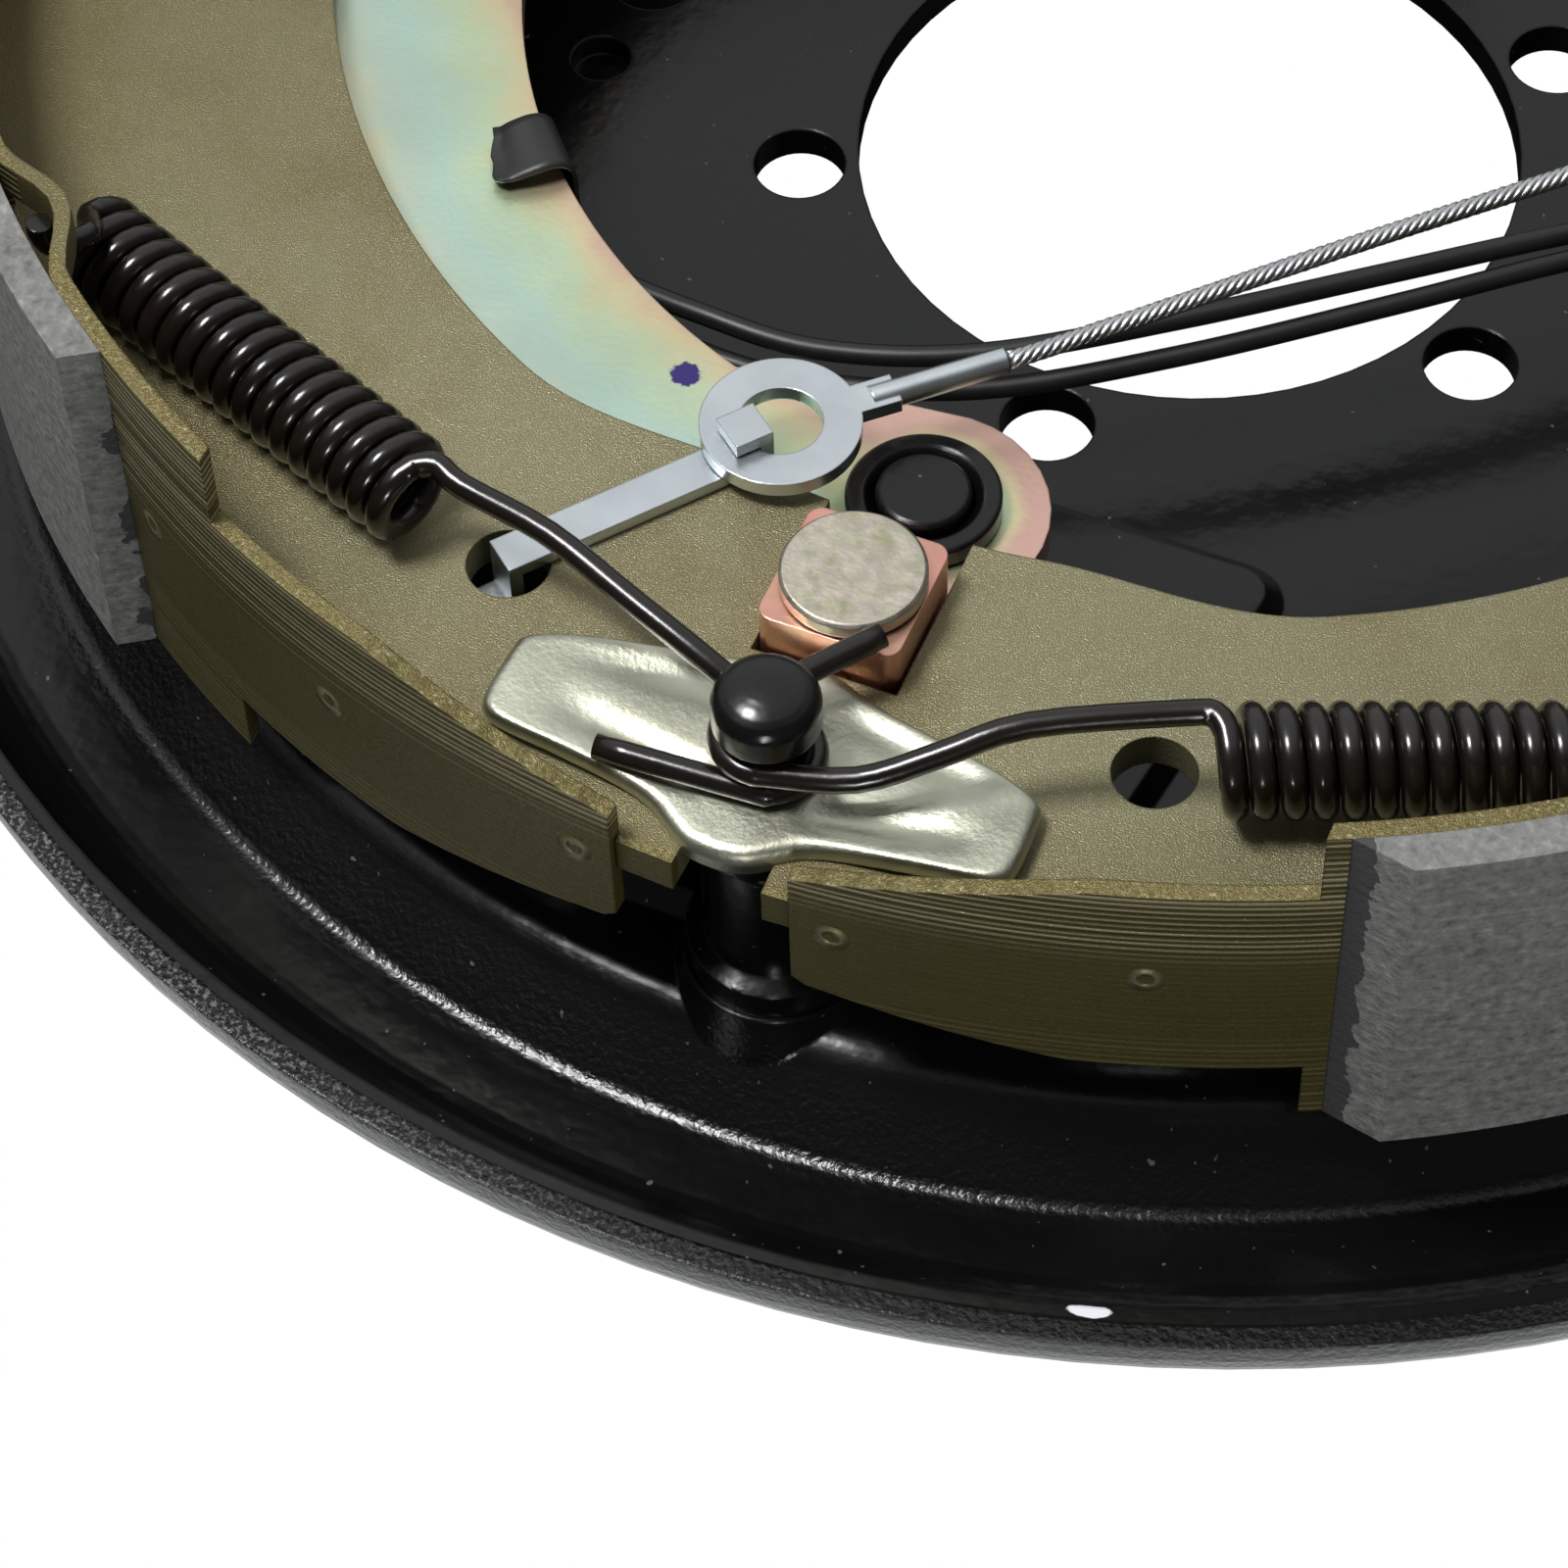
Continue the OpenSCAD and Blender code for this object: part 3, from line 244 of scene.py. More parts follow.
def olive_zinc():
    """Olive webs whose fine specks are painted bright as glints, and darker tables with drawn lines and
    an upper edge painted lighter as its highlight.
    """
    t = Tree("olive_zinc")
    radius, height, _ = t.polar()
    wander = t.noise(22, 4.0, 0.55)
    web = t.ramp(wander, [(0.34, (0.138, 0.112, 0.050)), (0.5, (0.184, 0.165, 0.090)),
                          (0.7, (0.170, 0.158, 0.084))])
    # The web's grain, with its sparse bright specks painted in as glints.
    web = t.mixed(t.remap(t.noise(5200, 1.0), 0, 1, 0.57, 0.76), web, (0.380, 0.360, 0.250))
    near_table = t.times(t.remap(radius, 0, 0.8, 0.128, 0.1445), t.remap(wander, 0.3, 1.0))
    web = t.mixed(near_table, web, (0.100, 0.075, 0.022))
    web = t.mixed(t.remap(t.along(SIDEWAYS), 0, 0.5, 0.05, 0.13), web, (0.115, 0.090, 0.032))

    wave = t.maths("SINE", t.times(height, 2 * math.pi / LINE_PITCH))
    lines = t.plus(t.times(wave, 0.25), t.noise(1.0, 1.0, 0.5, (5, 5, 1100)))
    near_edge = t.plus(t.remap(height, 0.05, 1, *DRAWN_TOP_Z),
                       t.remap(height, 0.25, 0, *DRAWN_LOW_Z))
    plain = t.ramp(wander, [(0.3, (0.078, 0.066, 0.018)), (0.7, (0.100, 0.087, 0.027))])
    drawn = t.ramp(lines, [(0.30, (0.066, 0.053, 0.015)), (0.58, (0.108, 0.092, 0.032)),
                           (0.74, (0.340, 0.310, 0.180))])
    rings = weld_rings(t, height)
    # Lighter colour on the rings round the welds: the highlight on their raised rims, painted in.
    table = t.mixed(t.times(rings, 0.5), t.mixed(near_edge, plain, drawn), (0.300, 0.280, 0.170))

    is_table = t.maths("GREATER_THAN", radius, TABLE_INNER_R)
    colour = t.mixed(is_table, web, table)
    # The table's upward-facing edge is painted lighter as its highlight, with bright specks as painted
    # glints.
    normal = t.nodes.new("ShaderNodeSeparateXYZ")
    t.links.new(t.nodes.new("ShaderNodeNewGeometry").outputs["Normal"], normal.inputs["Vector"])
    top_edge_highlight = t.times(t.maths("GREATER_THAN", normal.outputs["Z"], 0.7), is_table)
    specks = t.noise(1900, 2.0)
    bright = t.ramp(specks, [(0.40, (0.110, 0.087, 0.028)), (0.62, (0.170, 0.142, 0.056)),
                             (0.78, (0.400, 0.370, 0.240))])
    t.feed("Base Color", t.mixed(top_edge_highlight, colour, bright))
    t.feed("Metallic", 0.55)
    t.feed("Roughness", t.remap(specks, 0.30, 0.52))
    ridges = t.times(t.times(lines, near_edge), is_table)
    relief = t.plus(t.times(ridges, 3.0), t.times(t.noise(5200, 1.0, 0.6), 1.4))
    t.bump(t.plus(relief, t.times(rings, 9.0)), 0.5, 0.0002, 0.0004)
    return t.mat


def iridescent_zinc():
    """Zinc tinted pink at the lever's edges, through yellow to green, with one dot of paint."""
    t = Tree("iridescent_zinc")
    radius, _, _ = t.polar()
    from_pivot, _, _ = t.polar(PIVOT)
    place = t.nodes.new("ShaderNodeMix")
    for socket, value in ((0, t.remap(t.along(SIDEWAYS), 1, 0, 0.005, 0.013)),
                          (2, t.remap(radius, 0.06, 0.94, *BOW_R)),
                          (3, t.remap(from_pivot, 0.40, -0.12, 0.0075, 0.0125))):
        t.links.new(value, place.inputs[socket])
    wander = t.times(t.minus(t.noise(45, 6.0, 0.65), 0.5), 0.6)
    tint = t.ramp(t.plus(place.outputs[0], wander),
                  [(0.0, (0.74, 0.48, 0.40)), (0.13, (0.78, 0.67, 0.42)), (0.28, (0.62, 0.74, 0.50)),
                   (0.50, (0.54, 0.72, 0.62)), (0.68, (0.60, 0.71, 0.58)), (0.86, (0.76, 0.72, 0.47)),
                   (1.0, (0.74, 0.55, 0.46))])
    from_dot, _, _ = t.polar(PAINT_DOT)
    ragged = t.plus(from_dot, t.times(t.noise(1200, 3.0), 0.0014))
    painted = t.remap(ragged, 1, 0, 0.0023, 0.0026)
    t.feed("Base Color", t.mixed(painted, tint, (0.018, 0.008, 0.115)))
    t.feed("Metallic", t.minus(1.0, painted))
    t.feed("Roughness", t.remap(t.noise(60), 0.32, 0.42))
    t.bump(t.noise(1100, 2.0), 0.12, 0.0002)
    return t.mat


def friction():
    """Grey lining, speckled and ground along its length, with dark broken ends."""
    t = Tree("friction")
    _, _, angle = t.polar()
    speckle = t.noise(760, 4.0, 0.65)
    ground = t.noise(1.0, 2.0, 0.5, (90, 90, 1400))
    grit = t.plus(t.times(speckle, 0.78), t.times(ground, 0.22))
    colour = t.ramp(grit, [(0.28, (0.060, 0.060, 0.058)), (0.44, (0.130, 0.131, 0.125)),
                           (0.58, (0.178, 0.179, 0.170)), (0.74, (0.280, 0.270, 0.240))])
    wobble = t.times(t.noise(260, 3.0), 0.03)
    after = t.maths("GREATER_THAN", t.minus(angle, wobble), LINING_ENDS[0])
    before = t.maths("LESS_THAN", t.plus(angle, wobble), LINING_ENDS[1])
    t.feed("Base Color", t.mixed(t.times(after, before), colour, (0.042, 0.042, 0.043)))
    t.feed("Roughness", 0.85)
    t.bump(grit, 0.6, 0.0006)
    return t.mat


# Colour stops, their scale, metallic, the roughness's range, the grain's scale and its strength
FINISHES = {
    "copper_zinc": ([(0.3, (0.80, 0.33, 0.27)), (0.5, (0.84, 0.44, 0.36)), (0.7, (0.70, 0.46, 0.30))],
                    70, 1.0, (0.26, 0.36), 900, 0.1),
    "yellow_zinc": ([(0.3, (0.42, 0.42, 0.27)), (0.5, (0.56, 0.50, 0.43)), (0.7, (0.46, 0.47, 0.33))],
                    260, 1.0, (0.34, 0.5), 900, 0.3),
    "pale_zinc": ([(0.3, (0.44, 0.44, 0.34)), (0.5, (0.57, 0.58, 0.47)), (0.7, (0.50, 0.51, 0.40))],
                  70, 1.0, (0.34, 0.46), 1300, 0.3),
    "blue_zinc": ([(0.3, (0.64, 0.69, 0.73)), (0.7, (0.76, 0.81, 0.84))],
                  60, 1.0, (0.24, 0.34), 700, 0.12),
    "wire_rope": ([(0.3, (0.60, 0.61, 0.63)), (0.7, (0.74, 0.75, 0.76))],
                  90, 1.0, (0.28, 0.38), 900, 0.05),
    "spring_steel": ([(0.3, (0.0035, 0.0025, 0.002)), (0.7, (0.008, 0.0055, 0.0045))],
                     60, 0.0, (0.17, 0.25), 500, 0.12, 0.25),
    "lead_rubber": ([(0.3, (0.006, 0.006, 0.006)), (0.7, (0.009, 0.009, 0.009))],
                    60, 0.0, (0.32, 0.42), 500, 0.05),
    "rubber_black": ([(0.3, (0.008, 0.008, 0.008)), (0.7, (0.012, 0.012, 0.012))],
                     60, 0.0, (0.4, 0.5), 500, 0.1),
    "magnet_resin": ([(0.3, (0.015, 0.018, 0.028)), (0.7, (0.022, 0.026, 0.040))],
                     60, 0.0, (0.4, 0.55), 500, 0.15),
    "magnet_iron": ([(0.3, (0.28, 0.28, 0.29)), (0.7, (0.38, 0.38, 0.38))],
                    90, 1.0, (0.35, 0.5), 700, 0.12),
}
MATERIALS = {"black_enamel": black_enamel(), "olive_zinc": olive_zinc(),
             "iridescent_zinc": iridescent_zinc(), "friction": friction()}
for slot_name, values in FINISHES.items():
    MATERIALS[slot_name] = finish(slot_name, *values)
for part in frame["record"]["subparts"]:
    mesh = NODES[part["node"]].data
    mesh.materials.clear()
    mesh.materials.append(MATERIALS[part["material_slot"]])


# Swept wires. From here on, shapes are drawn in millimetres and stored in metres.
def between(a, b, c, d, u):
    """A Catmull-Rom point from b to c."""
    return 0.5 * (2 * b + (c - a) * u + (2 * a - 5 * b + 4 * c - d) * u * u
                  + (3 * b - a - 3 * c + d) * u ** 3)


def smooth(points, steps):
    """A smooth run through given points."""
    pts = [Vector(p) for p in points]
    out = []
    for i in range(len(pts) - 1):
        a, b, c, d = pts[max(i - 1, 0)], pts[i], pts[i + 1], pts[min(i + 2, len(pts) - 1)]
        for s in range(steps):
            out.append(between(a, b, c, d, s / steps))
    return out + [pts[-1]]


def tube(name, points, radius, slot, sides):
    """A round wire along points, closed at both ends."""
    pts = [Vector(p) for p in points]
    last = len(pts) - 1
    tangents = [(pts[min(i + 1, last)] - pts[max(i - 1, 0)]).normalized() for i in range(last + 1)]
    side = tangents[0].orthogonal().normalized()
    verts, faces = [], []
    for p, t in zip(pts, tangents):
        side = (side - side.dot(t) * t).normalized()
        up = t.cross(side)
        for k in range(sides):
            angle = 2 * math.pi * k / sides
            verts.append((p + radius * (side * math.cos(angle) + up * math.sin(angle))) * MM)
    for i in range(last):
        for k in range(sides):
            a, b = i * sides + k, i * sides + (k + 1) % sides
            faces.append((a, b, b + sides, a + sides))
    faces.append(tuple(range(sides - 1, -1, -1)))
    faces.append(tuple(range(len(verts) - sides, len(verts))))
    return piece(name, verts, faces, slot)


def piece(name, verts, faces, slot):
    """A visible piece in the scene. Its larger faces, which close the ends, stay flat."""
    mesh = bpy.data.meshes.new(name)
    mesh.from_pydata([tuple(v) for v in verts], [], faces)
    mesh.update()
    mesh.polygons.foreach_set("use_smooth", [len(f) <= 4 for f in faces])
    mesh.materials.append(MATERIALS[slot])
    obj = bpy.data.objects.new(name, mesh)
    bpy.context.scene.collection.objects.link(obj)
    return obj


def ease(value, start, end):
    """0 up to start and 1 from end, with a soft change between."""
    u = min(max((value - start) / (end - start), 0.0), 1.0)
    return u * u * (3 - 2 * u)


ANCHOR_Y = 131.5
# Half the guide plate's outline, from the post's axis, and the heights of its two faces
GUIDE_HALF = [(0, 12.7), (3.4, 12.2), (6.1, 10.6), (8.9, 8.8), (13.2, 7.7), (20.2, 6.9), (26.9, 6.1),
              (29.7, 5.1), (30.6, 2.7), (30.4, -3.6), (29.8, -5.3), (27.8, -6.5), (23.9, -7.8),
              (15.9, -10), (8, -12.1), (3.1, -13.9), (0, -14.3)]
GUIDE_SHIFT, GUIDE_LOW, GUIDE_TOP = 1.2, 34.7, 36.7
GUIDE_HOLE_R, GUIDE_EDGE_R = 3.9, 1.5
GUIDE_WING_RISE = 1.1
# The rings of the top face: shares of the way from the hole to the first distance from the
# outline, and then those distances, closer together where the edge turns down
GUIDE_SHARES = (0.0, 0.14, 0.28, 0.42, 0.56, 0.7, 0.82, 0.92)
GUIDE_INSETS = (2.6, 1.5, 1.1, 0.7, 0.4, 0.15, 0.0)


def guide_height(x, y):
    """Top of the pressing: wings that rise outwards, with a soft valley beside each long edge."""
    out = abs(x)
    fade = ease(out, 4, 9) * (1 - ease(out, 17, 26))
    near = 3.6 - 0.15 * (out - 9)
    far = -10.4 + 0.27 * out
    valleys = math.exp(-((y - near) / 1.7) ** 2) + 0.8 * math.exp(-((y - far) / 1.5) ** 2)
    return GUIDE_TOP + GUIDE_WING_RISE * ease(out, 8, 24) - 0.9 * fade * valleys


def guide_plate():
    """The pressed plate on the anchor post that keeps the shoes' ends down."""
    half = [Vector((x, y, 0)) for x, y in GUIDE_HALF]
    control = half + [Vector((-p.x, p.y, 0)) for p in reversed(half[1:-1])]
    count = len(control)
    outline = []
    for i in range(count):
        a, b, c, d = (control[(i + k) % count] for k in (-1, 0, 1, 2))
        for step in range(4):
            outline.append(between(a, b, c, d, step / 4) + Vector((GUIDE_SHIFT, 0, 0)))
    rings = []
    for share in GUIDE_SHARES:
        ring = []
        for p in outline:
            reach = p.length - GUIDE_INSETS[0] - GUIDE_HOLE_R
            ring.append((p.normalized() * (GUIDE_HOLE_R + reach * share), 0.0))
        rings.append(ring)
    for inset in GUIDE_INSETS:
        run = max(GUIDE_EDGE_R - inset, 0)
        drop = GUIDE_EDGE_R - math.sqrt(max(GUIDE_EDGE_R ** 2 - run ** 2, 0))
        rings.append([(p - p.normalized() * inset, drop) for p in outline])
    verts = [(p.x * MM, (p.y + ANCHOR_Y) * MM, (guide_height(p.x, p.y) - drop) * MM)
             for ring in rings for p, drop in ring]
    for inset in (0.0, 0.4):
        for p in outline:
            lip = 1.2 * ease(p.y, 8, 11)
            low = GUIDE_LOW - lip * (1 - inset) + ease(abs(p.x), 8, 24) * GUIDE_WING_RISE
            q = p - p.normalized() * inset * 3
            verts.append((q.x * MM, (q.y + ANCHOR_Y) * MM, low * MM))
    for p in outline:
        q = p.normalized() * GUIDE_HOLE_R
        verts.append((q.x * MM, (q.y + ANCHOR_Y) * MM, GUIDE_LOW * MM))
    n, faces = len(outline), []
    total = len(verts) // n
    for r in range(total):
        for k in range(n):
            a, b = r * n + k, r * n + (k + 1) % n
            c, d = ((r + 1) % total) * n + (k + 1) % n, ((r + 1) % total) * n + k
            faces.append((a, d, c, b))
    obj = piece("pressed_guide_plate", verts, faces, "pale_zinc")
    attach(obj, "root")
    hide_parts("shoe_guide_plate")


guide_plate()


# The clip on the lever: radius and height along the strip, from under the lever to its flap
CLIP_PROFILE = [(88.0, 20.6), (84.5, 20.5), (81.2, 20.7), (80.3, 22.2), (80.4, 26.0), (80.5, 29.3),
                (81.4, 30.9), (83.2, 31.4), (85.4, 30.9), (87.4, 29.9), (88.8, 29.7)]
CLIP_ANGLE = math.radians(42)
CLIP_HALF, CLIP_T = 4.4, 0.5


def lead_clip():
    """A thin strip folded over the lever's inner edge, its upper flap bent and torn at the end."""
    line = smooth([Vector((r, 0, z)) for r, z in CLIP_PROFILE], 4)
    across = 8
    outer, inner = [], []
    for i, p in enumerate(line):
        t = (line[min(i + 1, len(line) - 1)] - line[max(i - 1, 0)]).normalized()
        n = Vector((-t.z, 0, t.x))
        flap = ease(i / (len(line) - 1), 0.72, 1.0)
        for k in range(across + 1):
            v = 2 * k / across - 1
            lift = flap * (0.9 * max(v, 0) ** 2 + 0.5 * max(-v, 0) ** 3)
            ragged = flap * 1.6 * math.sin(2.6 * v + 0.6) * abs(v)
            centre = Vector((p.x + ragged, v * CLIP_HALF * (1 - 0.12 * flap * v), p.z + lift))
            for rows, side in ((outer, 0.0), (inner, CLIP_T)):
                q = centre + n * side
                rows.append(Vector((q.x * math.cos(CLIP_ANGLE) - q.y * math.sin(CLIP_ANGLE),
                                    q.x * math.sin(CLIP_ANGLE) + q.y * math.cos(CLIP_ANGLE), q.z)) * MM)
    w, rows, base = across + 1, len(line), len(outer)
    faces = []
    for i in range(rows - 1):
        for k in range(across):
            a = i * w + k
            faces.append((a, a + w, a + w + 1, a + 1))
            faces.append((base + a, base + a + 1, base + a + w + 1, base + a + w))
        for a, b in ((i * w, (i + 1) * w), ((i + 1) * w + across, i * w + across)):
            faces.append((a, base + a, base + b, b))
    for i in (0, rows - 1):
        for k in range(across):
            a, b = i * w + k, i * w + k + 1
            faces.append((a, b, base + b, base + a) if i == 0 else (b, a, base + a, base + b))
    obj = piece("curled_clip", outer + inner, faces, "rubber_black")
    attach(obj, "lever")
    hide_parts("lead_clip")


lead_clip()


# Return springs: a hook through the shoe's tab, the coil, and an arm looped round the post's neck
COIL_D, WIRE_D, COIL_TURNS, COIL_SEGMENTS, WEB_TOP = 12.7, 2.9, 17, 20, 34.4
COIL_Z = WEB_TOP + COIL_D / 2 + 1
COIL_R = (COIL_D - WIRE_D) / 2
PITCH = WIRE_D + 0.22
NECK_R, WIRE_GAP = 3.4, 0.15
LOOP_R = NECK_R + WIRE_D / 2 + WIRE_GAP
LOW_Z = GUIDE_TOP + WIRE_D / 2 + WIRE_GAP
HIGH_Z = LOW_Z + WIRE_D + 2 * WIRE_GAP
TABLE_TOP, TABLE_R = 57.4, 146.6
TAB_INSET, TAB_DROP, HOOK_GAP = 4.2, 5, 0.3
HOOK_ANGLE = math.radians(90 - 42.7)
HOOK_R = TABLE_R - TAB_INSET + WIRE_D / 2 + HOOK_GAP
HOOK_Z = TABLE_TOP - TAB_DROP - WIRE_D / 2 - HOOK_GAP


def coil(side, finish_at, direction):
    end, d = Vector(finish_at), Vector(direction).normalized()
    e = side * d.cross(Vector((0, 0, 1)))
    out = []
    for i in range(COIL_TURNS * COIL_SEGMENTS + 1):
        turn = i / COIL_SEGMENTS
        a = math.pi / 2 + 2 * math.pi * turn
        out.append(end + d * (PITCH * turn - COIL_TURNS * PITCH)
                   + COIL_R * (e * math.cos(a) + Vector((0, 0, math.sin(a)))))
    return out


def neck_loop(z, a_in, a_out):
    """Points round the anchor post's neck, from one angle to the other."""
    out, steps = [], 10
    for i in range(steps + 1):
        a = math.radians(a_in + (a_out - a_in) * i / steps)
        out.append((LOOP_R * math.cos(a), ANCHOR_Y + LOOP_R * math.sin(a), z))
    return out


def return_spring(name, side, finish_at, direction, arm, loop, tail):
    def hook(r, z):
        return (side * r * math.cos(HOOK_ANGLE), r * math.sin(HOOK_ANGLE), z)

    turns = coil(side, finish_at, direction)
    start = smooth([hook(HOOK_R, TABLE_TOP - 2.6), hook(HOOK_R, HOOK_Z + 2.5),
                    hook(HOOK_R - 1.2, HOOK_Z), hook(HOOK_R - 5, HOOK_Z - 0.4), turns[0]], 5)
    path = start[:-1] + turns + smooth([turns[-1]] + arm + loop + [tail], 4)[1:]
    obj = tube(name, path, WIRE_D / 2, "spring_steel", 14)
    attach(obj, "root")
    return obj


spring = return_spring("primary_spring_wire", 1, (48.2, 116.2, COIL_Z), (-49.3, 19.45, 0),
                       [(45.6, 115.2, 47), (42, 116.5, 46.5), (31.2, 117.9, 45),
                        (20.6, 121.3, 43.2), (10, 124.6, 41.2)],
                       neck_loop(LOW_Z, -72, -265), (17.2, 137.7, LOW_Z + 0.5))
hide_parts("primary_return_spring")
spring = return_spring("secondary_spring_wire", -1, (-45.6, 116.8, COIL_Z), (49.1, 19.9, 0),
                       [(-43.8, 115.4, 47.1), (-40.8, 116.2, 47), (-26, 123.1, 46),
                        (-18.4, 128.7, 44), (-11, 133.6, 42)],
                       neck_loop(HIGH_Z, 112, -40), (-6.4, 115.4, HIGH_Z + 1))
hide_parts("secondary_return_spring")


# The adjuster cable, from the eyelet's ferrule round the guide to the pawl
CABLE = [(-3.3, 71, 37.5), (-7, 67.5, 37.5), (-30, 44, 37.5), (-54, 20, 37.5), (-80, -6.5, 37.6),
         (-104, -30.5, 37.8), (-113.5, -40.2, 38), (-118.4, -46, 38), (-119.3, -51.5, 38),
         (-116.5, -57.5, 38), (-110, -64.4, 38), (-92, -82.5, 38), (-74, -100.5, 38),
         (-64.4, -110.2, 38)]
STRANDS, STRAND_OFFSET, STRAND_LAY, STRAND_R, CORE_R = 6, 0.74, 7.2, 0.40, 0.42
STRAND_STEP = 0.7


def strand_paths(points, count, offset, lay, step):
    """Strands that wind round a route, one turn in each length of lay."""
    route = smooth(points, 12)
    lengths = [0.0]
    for a, b in zip(route, route[1:]):
        lengths.append(lengths[-1] + (b - a).length)
    total, samples, j = lengths[-1], [], 0
    for i in range(int(total / step) + 1):
        s = i * step
        while lengths[j + 1] < s:
            j += 1
        u = (s - lengths[j]) / max(lengths[j + 1] - lengths[j], 1e-9)
        samples.append((s, route[j].lerp(route[j + 1], u), (route[j + 1] - route[j]).normalized()))
    paths = []
    for k in range(count):
        out = []
        for s, p, t in samples:
            side = t.cross(Vector((0, 0, 1))).normalized()
            up = side.cross(t)
            a = 2 * math.pi * (s / lay + k / count)
            out.append(p + offset * (side * math.cos(a) + up * math.sin(a)))
        paths.append(out)
    return paths


def joined(name, parts):
    """The parts as one object."""
    bpy.ops.object.select_all(action="DESELECT")
    for o in parts:
        o.select_set(True)
    bpy.context.view_layer.objects.active = parts[0]
    bpy.ops.object.join()
    parts[0].name = name
    return parts[0]


strand_routes = strand_paths(CABLE, STRANDS, STRAND_OFFSET, STRAND_LAY, STRAND_STEP)
strands = [tube(f"strand_{k}", route, STRAND_R, "wire_rope", 6)
           for k, route in enumerate(strand_routes)]
strands.append(tube("strand_core", smooth(CABLE, 4), CORE_R, "wire_rope", 6))
rope = joined("twisted_cable", strands)
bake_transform(rope)
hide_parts("adjuster_cable")

# The magnet's leads, along the lever, through the clip and grommet, and behind the plate
TAIL_Z, LEAD_R = -9.2, 1.3
LEADS = {
    "magnet_lead_a": [
        (27.4, -60.2, 39), (27.9, -57, 38.7), (36, -53.6, 36.7), (48, -49.8, 32), (58, -44.5, 27),
        (67, -35, 22.5), (77, -22, 22), (83, 0, 22.9), (79, 27, 22.9), (61.8, 55.7, 22.9),
        (57.6, 60.2, 22.9), (50.5, 62.6, 20.5), (39, 62.6, 18.5), (24, 61.8, 17.5), (6, 55.8, 18),
        (-14, 43, 19), (-34, 27.5, 19), (-51.4, 13, 18), (-66, -1, 14), (-75.4, -15, 9),
        (-78.2, -23.2, 3.6), (-78.3, -24, -1), (-78.3, -24, -6.4), (-79, -27, TAIL_Z),
        (-81, -35, TAIL_Z), (-84, -52, TAIL_Z), (-78, -70, TAIL_Z), (-64, -86, TAIL_Z),
        (-46, -97, TAIL_Z)],
    "magnet_lead_b": [
        (21.4, -61.6, 36), (23.4, -58.6, 35.8), (34, -57.4, 34.5), (47, -54, 30.5), (60, -47, 25),
        (71, -37, 21.5), (80.5, -24, 21.8), (86, 0, 22.9), (81.8, 28.6, 22.9), (64.1, 57.7, 22.9),
        (59.8, 62.3, 22.9), (53, 65.3, 20), (41, 66, 16.5), (25, 65, 15), (5, 58.5, 15),
        (-15, 46, 16), (-36, 30, 17), (-54, 15, 17), (-69, 1, 13), (-78.5, -13, 8.6),
        (-81.6, -22.6, 3.6), (-81.7, -24, -1), (-81.7, -24, -6.4), (-82.6, -27, TAIL_Z),
        (-85, -35, TAIL_Z), (-88, -53, TAIL_Z), (-82, -73, TAIL_Z), (-67, -90, TAIL_Z),
        (-49, -101, TAIL_Z)],
}
for node, points in LEADS.items():
    lead = tube(node + "_sleeve", smooth(points, 8), LEAD_R, "lead_rubber", 12)
    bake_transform(lead)
    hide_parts(node)

# The camera sees white. What the object reflects is a bright sweep behind it, a white table far
# below and a dim room on the viewer's side.
SWEEP, DOWNWARD, ROOM_LEVEL = (0.25, -0.53, 0.81), (0, 0, -1), 0.07
world = bpy.data.worlds.new("surround")
bpy.context.scene.world = world
world.use_nodes = True
w_nodes, w_links = world.node_tree.nodes, world.node_tree.links
direction = w_nodes.new("ShaderNodeTexCoord").outputs["Generated"]


def glow(towards, start, end, level):
    """A light level that grows from nought as the direction nears the one given."""
    dot = w_nodes.new("ShaderNodeVectorMath")
    dot.operation = "DOT_PRODUCT"
    dot.inputs[1].default_value = towards
    w_links.new(direction, dot.inputs[0])
    fade = w_nodes.new("ShaderNodeMapRange")
    fade.interpolation_type = "SMOOTHSTEP"
    fade.inputs["From Min"].default_value = start
    fade.inputs["From Max"].default_value = end
    fade.inputs["To Min"].default_value = 0
    fade.inputs["To Max"].default_value = level
    w_links.new(dot.outputs["Value"], fade.inputs["Value"])
    return fade.outputs["Result"]


def plus(a, b):
    """The sum of two light levels, either of which may be a plain number."""
    total = w_nodes.new("ShaderNodeMath")
    total.operation = "ADD"
    for socket, term in zip(total.inputs, (a, b)):
        if isinstance(term, float):
            socket.default_value = term
        else:
            w_links.new(term, socket)
    return total.outputs["Value"]


back = w_nodes["Background"]
back.inputs["Color"].default_value = (0.97, 0.99, 1.0, 1)
w_links.new(plus(plus(ROOM_LEVEL, glow(SWEEP, 0.3, 0.92, 0.60)), glow(DOWNWARD, 0.66, 0.82, 0.85)),
            back.inputs["Strength"])
path = w_nodes.new("ShaderNodeLightPath")
white = w_nodes.new("ShaderNodeBackground")
white.inputs["Color"].default_value = (1, 1, 1, 1)
blend_node = w_nodes.new("ShaderNodeMixShader")
w_links.new(path.outputs["Is Camera Ray"], blend_node.inputs["Fac"])
w_links.new(back.outputs["Background"], blend_node.inputs[1])
w_links.new(white.outputs["Background"], blend_node.inputs[2])
w_links.new(blend_node.outputs["Shader"], w_nodes["World Output"].inputs["Surface"])


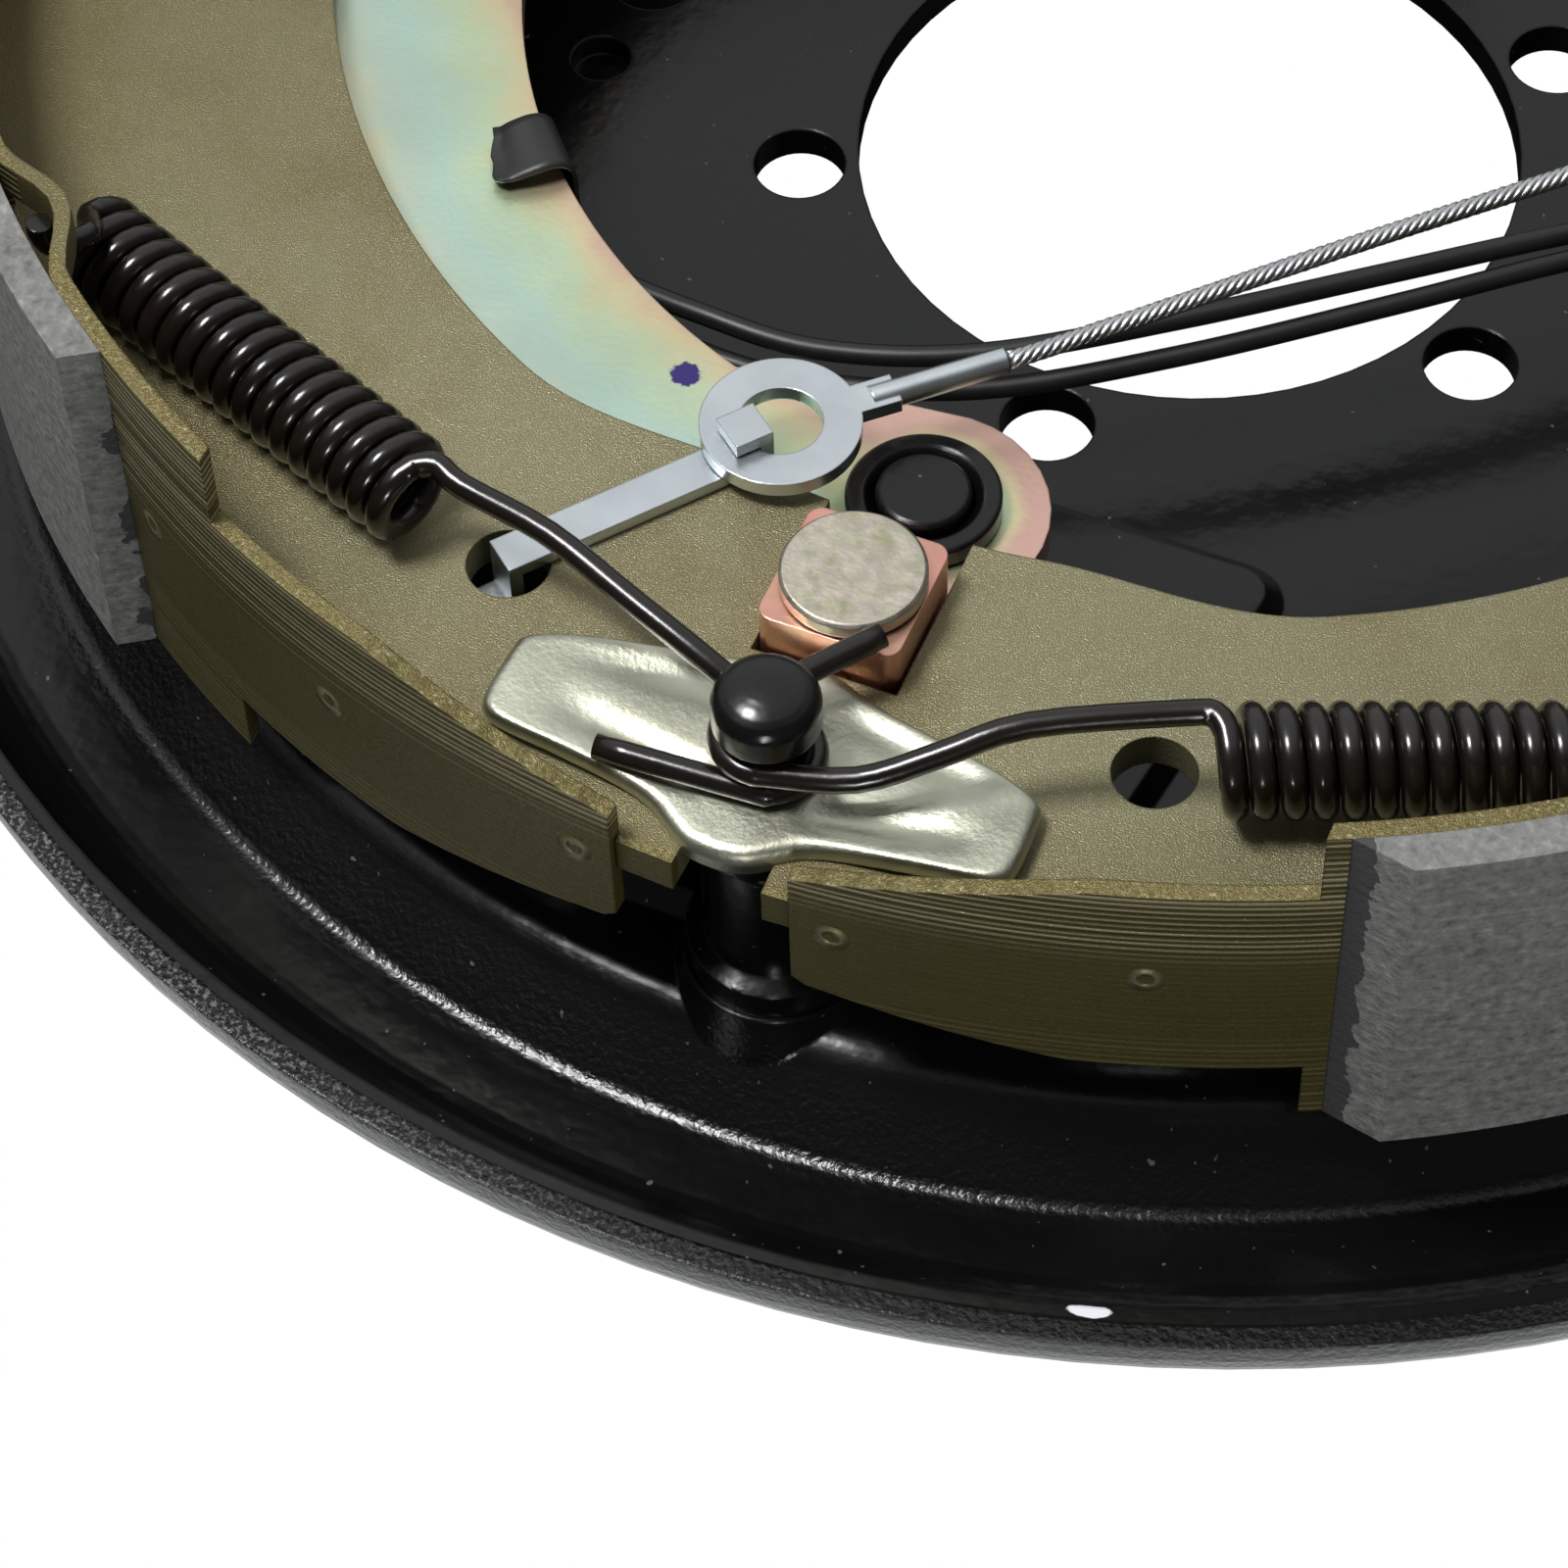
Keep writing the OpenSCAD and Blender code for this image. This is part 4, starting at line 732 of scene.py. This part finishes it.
def lamp(name, place, target, size, power):
    light = bpy.data.lights.new(name, "AREA")
    light.energy = power
    light.size = size
    obj = bpy.data.objects.new(name, light)
    obj.location = place
    obj.rotation_mode = "QUATERNION"
    obj.rotation_quaternion = (Vector(target) - Vector(place)).to_track_quat("-Z", "Y")
    bpy.context.scene.collection.objects.link(obj)
    return obj


lamp("overhead", (0.38, 0.30, 1.1), (0, 0.1, 0), 0.30, 14)
lamp("viewer_side", (-0.34, 1.05, 0.17), (0, 0.1, 0.03), 0.12, 1.8)
for side_lamp in (lamp("left_side", (0.9, 0.5, 0.55), (0, 0.1, 0.02), 0.5, 1.2),
                  lamp("right_side", (-0.9, 0.6, 0.6), (0, 0.1, 0.02), 0.5, 5.5)):
    side_lamp.visible_glossy = False

# The shade that the object throws on the table below it, which the object's underside reflects
SHADE_R, SHADE_Z, SHADE_SIDES = 0.15, -0.06, 48
dark = Tree("table_shade")
dark.shader.inputs["Base Color"].default_value = (0.01, 0.01, 0.01, 1)
dark.feed("Roughness", 1.0)
turns = [2 * math.pi * k / SHADE_SIDES for k in range(SHADE_SIDES)]
disc = bpy.data.meshes.new("table_shade")
disc.from_pydata([(SHADE_R * math.cos(a), SHADE_R * math.sin(a), SHADE_Z) for a in turns],
                 [], [tuple(range(SHADE_SIDES))])
disc.materials.append(dark.mat)
shade = bpy.data.objects.new("table_shade", disc)
shade.visible_camera = False
bpy.context.scene.collection.objects.link(shade)

# The photograph's camera, as solved from the hub hole, the bolt holes, the rim and the lining
camera = bpy.data.objects.new("camera", bpy.data.cameras.new("camera"))
camera.data.sensor_width = 36
camera.data.lens = 118.18
camera.data.clip_start, camera.data.clip_end = 0.01, 10
RIGHT = Vector((-0.92042, -0.39017, -0.02416))
DOWN = Vector((-0.30407, 0.75342, -0.58301))
FORWARD = Vector((0.24568, -0.52927, -0.81211))
place = Matrix((RIGHT, -DOWN, -FORWARD)).transposed().to_4x4()
place.translation = Vector((-0.13579, 0.42045, 0.47705))
camera.matrix_world = place
bpy.context.scene.collection.objects.link(camera)
bpy.context.scene.camera = camera
bpy.context.scene.view_settings.view_transform = "Standard"
